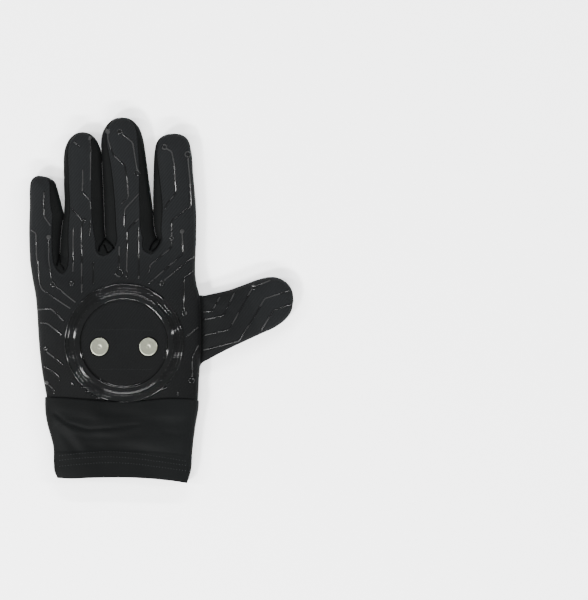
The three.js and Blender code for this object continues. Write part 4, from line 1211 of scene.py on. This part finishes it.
thread = Finish("pale_thread")
thread_where = thread.place()
thread_twist = thread.noise(thread_where, 3000.0, 2.0)
thread_colour = thread.mix(thread_twist, colour(0.26, 0.25, 0.19), colour(0.38, 0.37, 0.3))
thread.surface(base_color=thread_colour, roughness=0.6, height=thread_twist, distance=0.0001)


def stitches_along(path, pitch, length, width, level, tall):
    """Stitches as small spindles laid in a line along a path: each rises and narrows as half a sine."""
    along = walked(path)
    middles = np.arange(pitch / 2, along[-1] - pitch / 3, pitch)
    at = at_lengths(middles, along, path)
    ahead = at_lengths(middles + 0.2, along, path)
    run = (ahead - at) / np.maximum(np.linalg.norm(ahead - at, axis=1), 1e-9)[:, None]
    side = np.stack([run[:, 1], -run[:, 0]], -1)
    s = np.linspace(-1, 1, 7)
    thick = np.sqrt(np.maximum(1 - s**2, 0))
    turn = np.linspace(0, 2 * np.pi, 7)
    spread = thick[:, None] * np.cos(turn)[None] * width / 2
    lift = thick[:, None] * np.sin(turn)[None] * tall
    plan = (at[:, None, None] + run[:, None, None] * (s * length / 2)[None, :, None, None]
            + side[:, None, None] * spread[None, :, :, None])
    z = level(at)[:, None, None] + np.broadcast_to(lift[None], plan.shape[:-1])
    return list(np.concatenate([plan, z[..., None]], -1))


def make_pad(name, edge, core, stitch_line):
    """One pad and its line of stitches."""
    points, faces = sew([fill_outline(edge, core)], together=0.004, downwards=True)
    piece = make_piece("pad_" + name + "_cloth", points, faces, pad_knit.material)
    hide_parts("pad_" + name)
    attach(piece, "root")
    return stitches_along(stitch_line, STITCH_PITCH, STITCH_LENGTH, STITCH_WIDTH,
                          lambda at: np.full(len(at), STITCH_LEVEL), STITCH_TALL)


pad_stitches = []
for name, turn in PILLS:
    middle = place_of("pad_" + name)
    edge, core = pill_outline(middle, turn, 0.0)
    pad_stitches += make_pad(name, edge, core, pill_outline(middle, turn, STITCH_INSET)[0])
for name, outline in (("thumb", oval_outline()), ("ball_of_thumb", triangle_outline())):
    edge = outline + place_of("pad_" + name) - (outline.min(0) + outline.max(0)) / 2
    middle = edge[:-1].mean(0)
    core = np.tile(middle, (len(edge), 1))
    inset = edge - (edge - middle) * (STITCH_INSET / np.linalg.norm(edge - middle, axis=1))[:, None]
    pad_stitches += make_pad(name, edge, core, inset)
stitch_points, stitch_faces = sew(pad_stitches, together=0.002)
pad_thread = make_piece("pad_stitches", stitch_points, stitch_faces, thread.material)
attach(pad_thread, "root")

# The dark thread: three rows of cover stitch on each side of the hem, and two faint short rows that hold a
# stay behind the dock. Each stitch is a small spindle sunk into the cloth.
HEM_ROWS_BACK = [
    [(-45, -39.6), (-33, -38.1), (-11, -36.6), (6, -37.4), (24, -39.8), (44.8, -43.4)],
    [(-45, -42.8), (-33, -41.4), (-11, -40.1), (6, -41), (24, -43.3), (44.6, -46.3)],
    [(-45, -47), (-33, -45.6), (-11, -44.2), (6, -44.9), (24, -47.1), (44.4, -50)],
]
HEM_ROWS_PALM = [
    [(-45, -42), (-20, -41.6), (10, -42.2), (44, -46)],
    [(-45, -46.7), (-20, -46.2), (10, -46.6), (44, -50)],
    [(-44.6, -50.6), (-20, -50.2), (10, -50.4), (43.6, -53.6)],
]
STAY_ROWS = [[(-21, 48.2), (0, 48.4), (21, 48)], [(-17, 20.8), (0, 21), (21, 20.6)]]

dark_thread = Finish("dark_thread")
dark_where = dark_thread.place()
dark_twist = dark_thread.noise(dark_where, 3000.0, 2.0)
dark_colour = dark_thread.mix(dark_twist, colour(0.004, 0.0045, 0.0046), colour(0.011, 0.012, 0.0125))
dark_thread.surface(base_color=dark_colour, roughness=0.6, specular_ior_level=0.12, height=dark_twist,
                    distance=0.0001)


def cuff_level(points, side):
    """Height of the cuff's outside over points in plan: its grid's four nearest, the nearer the more."""
    grid = cuff_outside[:, np.sign(cuff_lift) == side].reshape(-1, 3)
    away = ((grid[None, :, :2] - points[:, None]) ** 2).sum(-1)
    near = np.argpartition(away, 4, axis=1)[:, :4]
    weight = 1 / (np.take_along_axis(away, near, 1) + 1e-6)
    return (grid[near, 2] * weight).sum(1) / weight.sum(1) + 0.04 * side


HEM_PITCH, HEM_LENGTH, HEM_WIDTH, HEM_TALL = 2.0, 0.8, 0.6, 0.22
STAY_PITCH, STAY_LENGTH, STAY_WIDTH, STAY_TALL = 1.5, 0.9, 0.2, 0.08

hem_grids = []
for rows, side in ((HEM_ROWS_BACK, 1), (HEM_ROWS_PALM, -1)):
    for line in rows:
        hem_grids += stitches_along(curve_through(line, 120), HEM_PITCH, HEM_LENGTH, HEM_WIDTH,
                                    lambda at: cuff_level(at, side), HEM_TALL)
for line in STAY_ROWS:
    hem_grids += stitches_along(curve_through(line, 60), STAY_PITCH, STAY_LENGTH, STAY_WIDTH,
                                back_height, STAY_TALL)
hem_points, hem_faces = sew(hem_grids, together=0.002)
hem_thread = make_piece("dark_stitches", hem_points, hem_faces, dark_thread.material)
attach(hem_thread, "root")
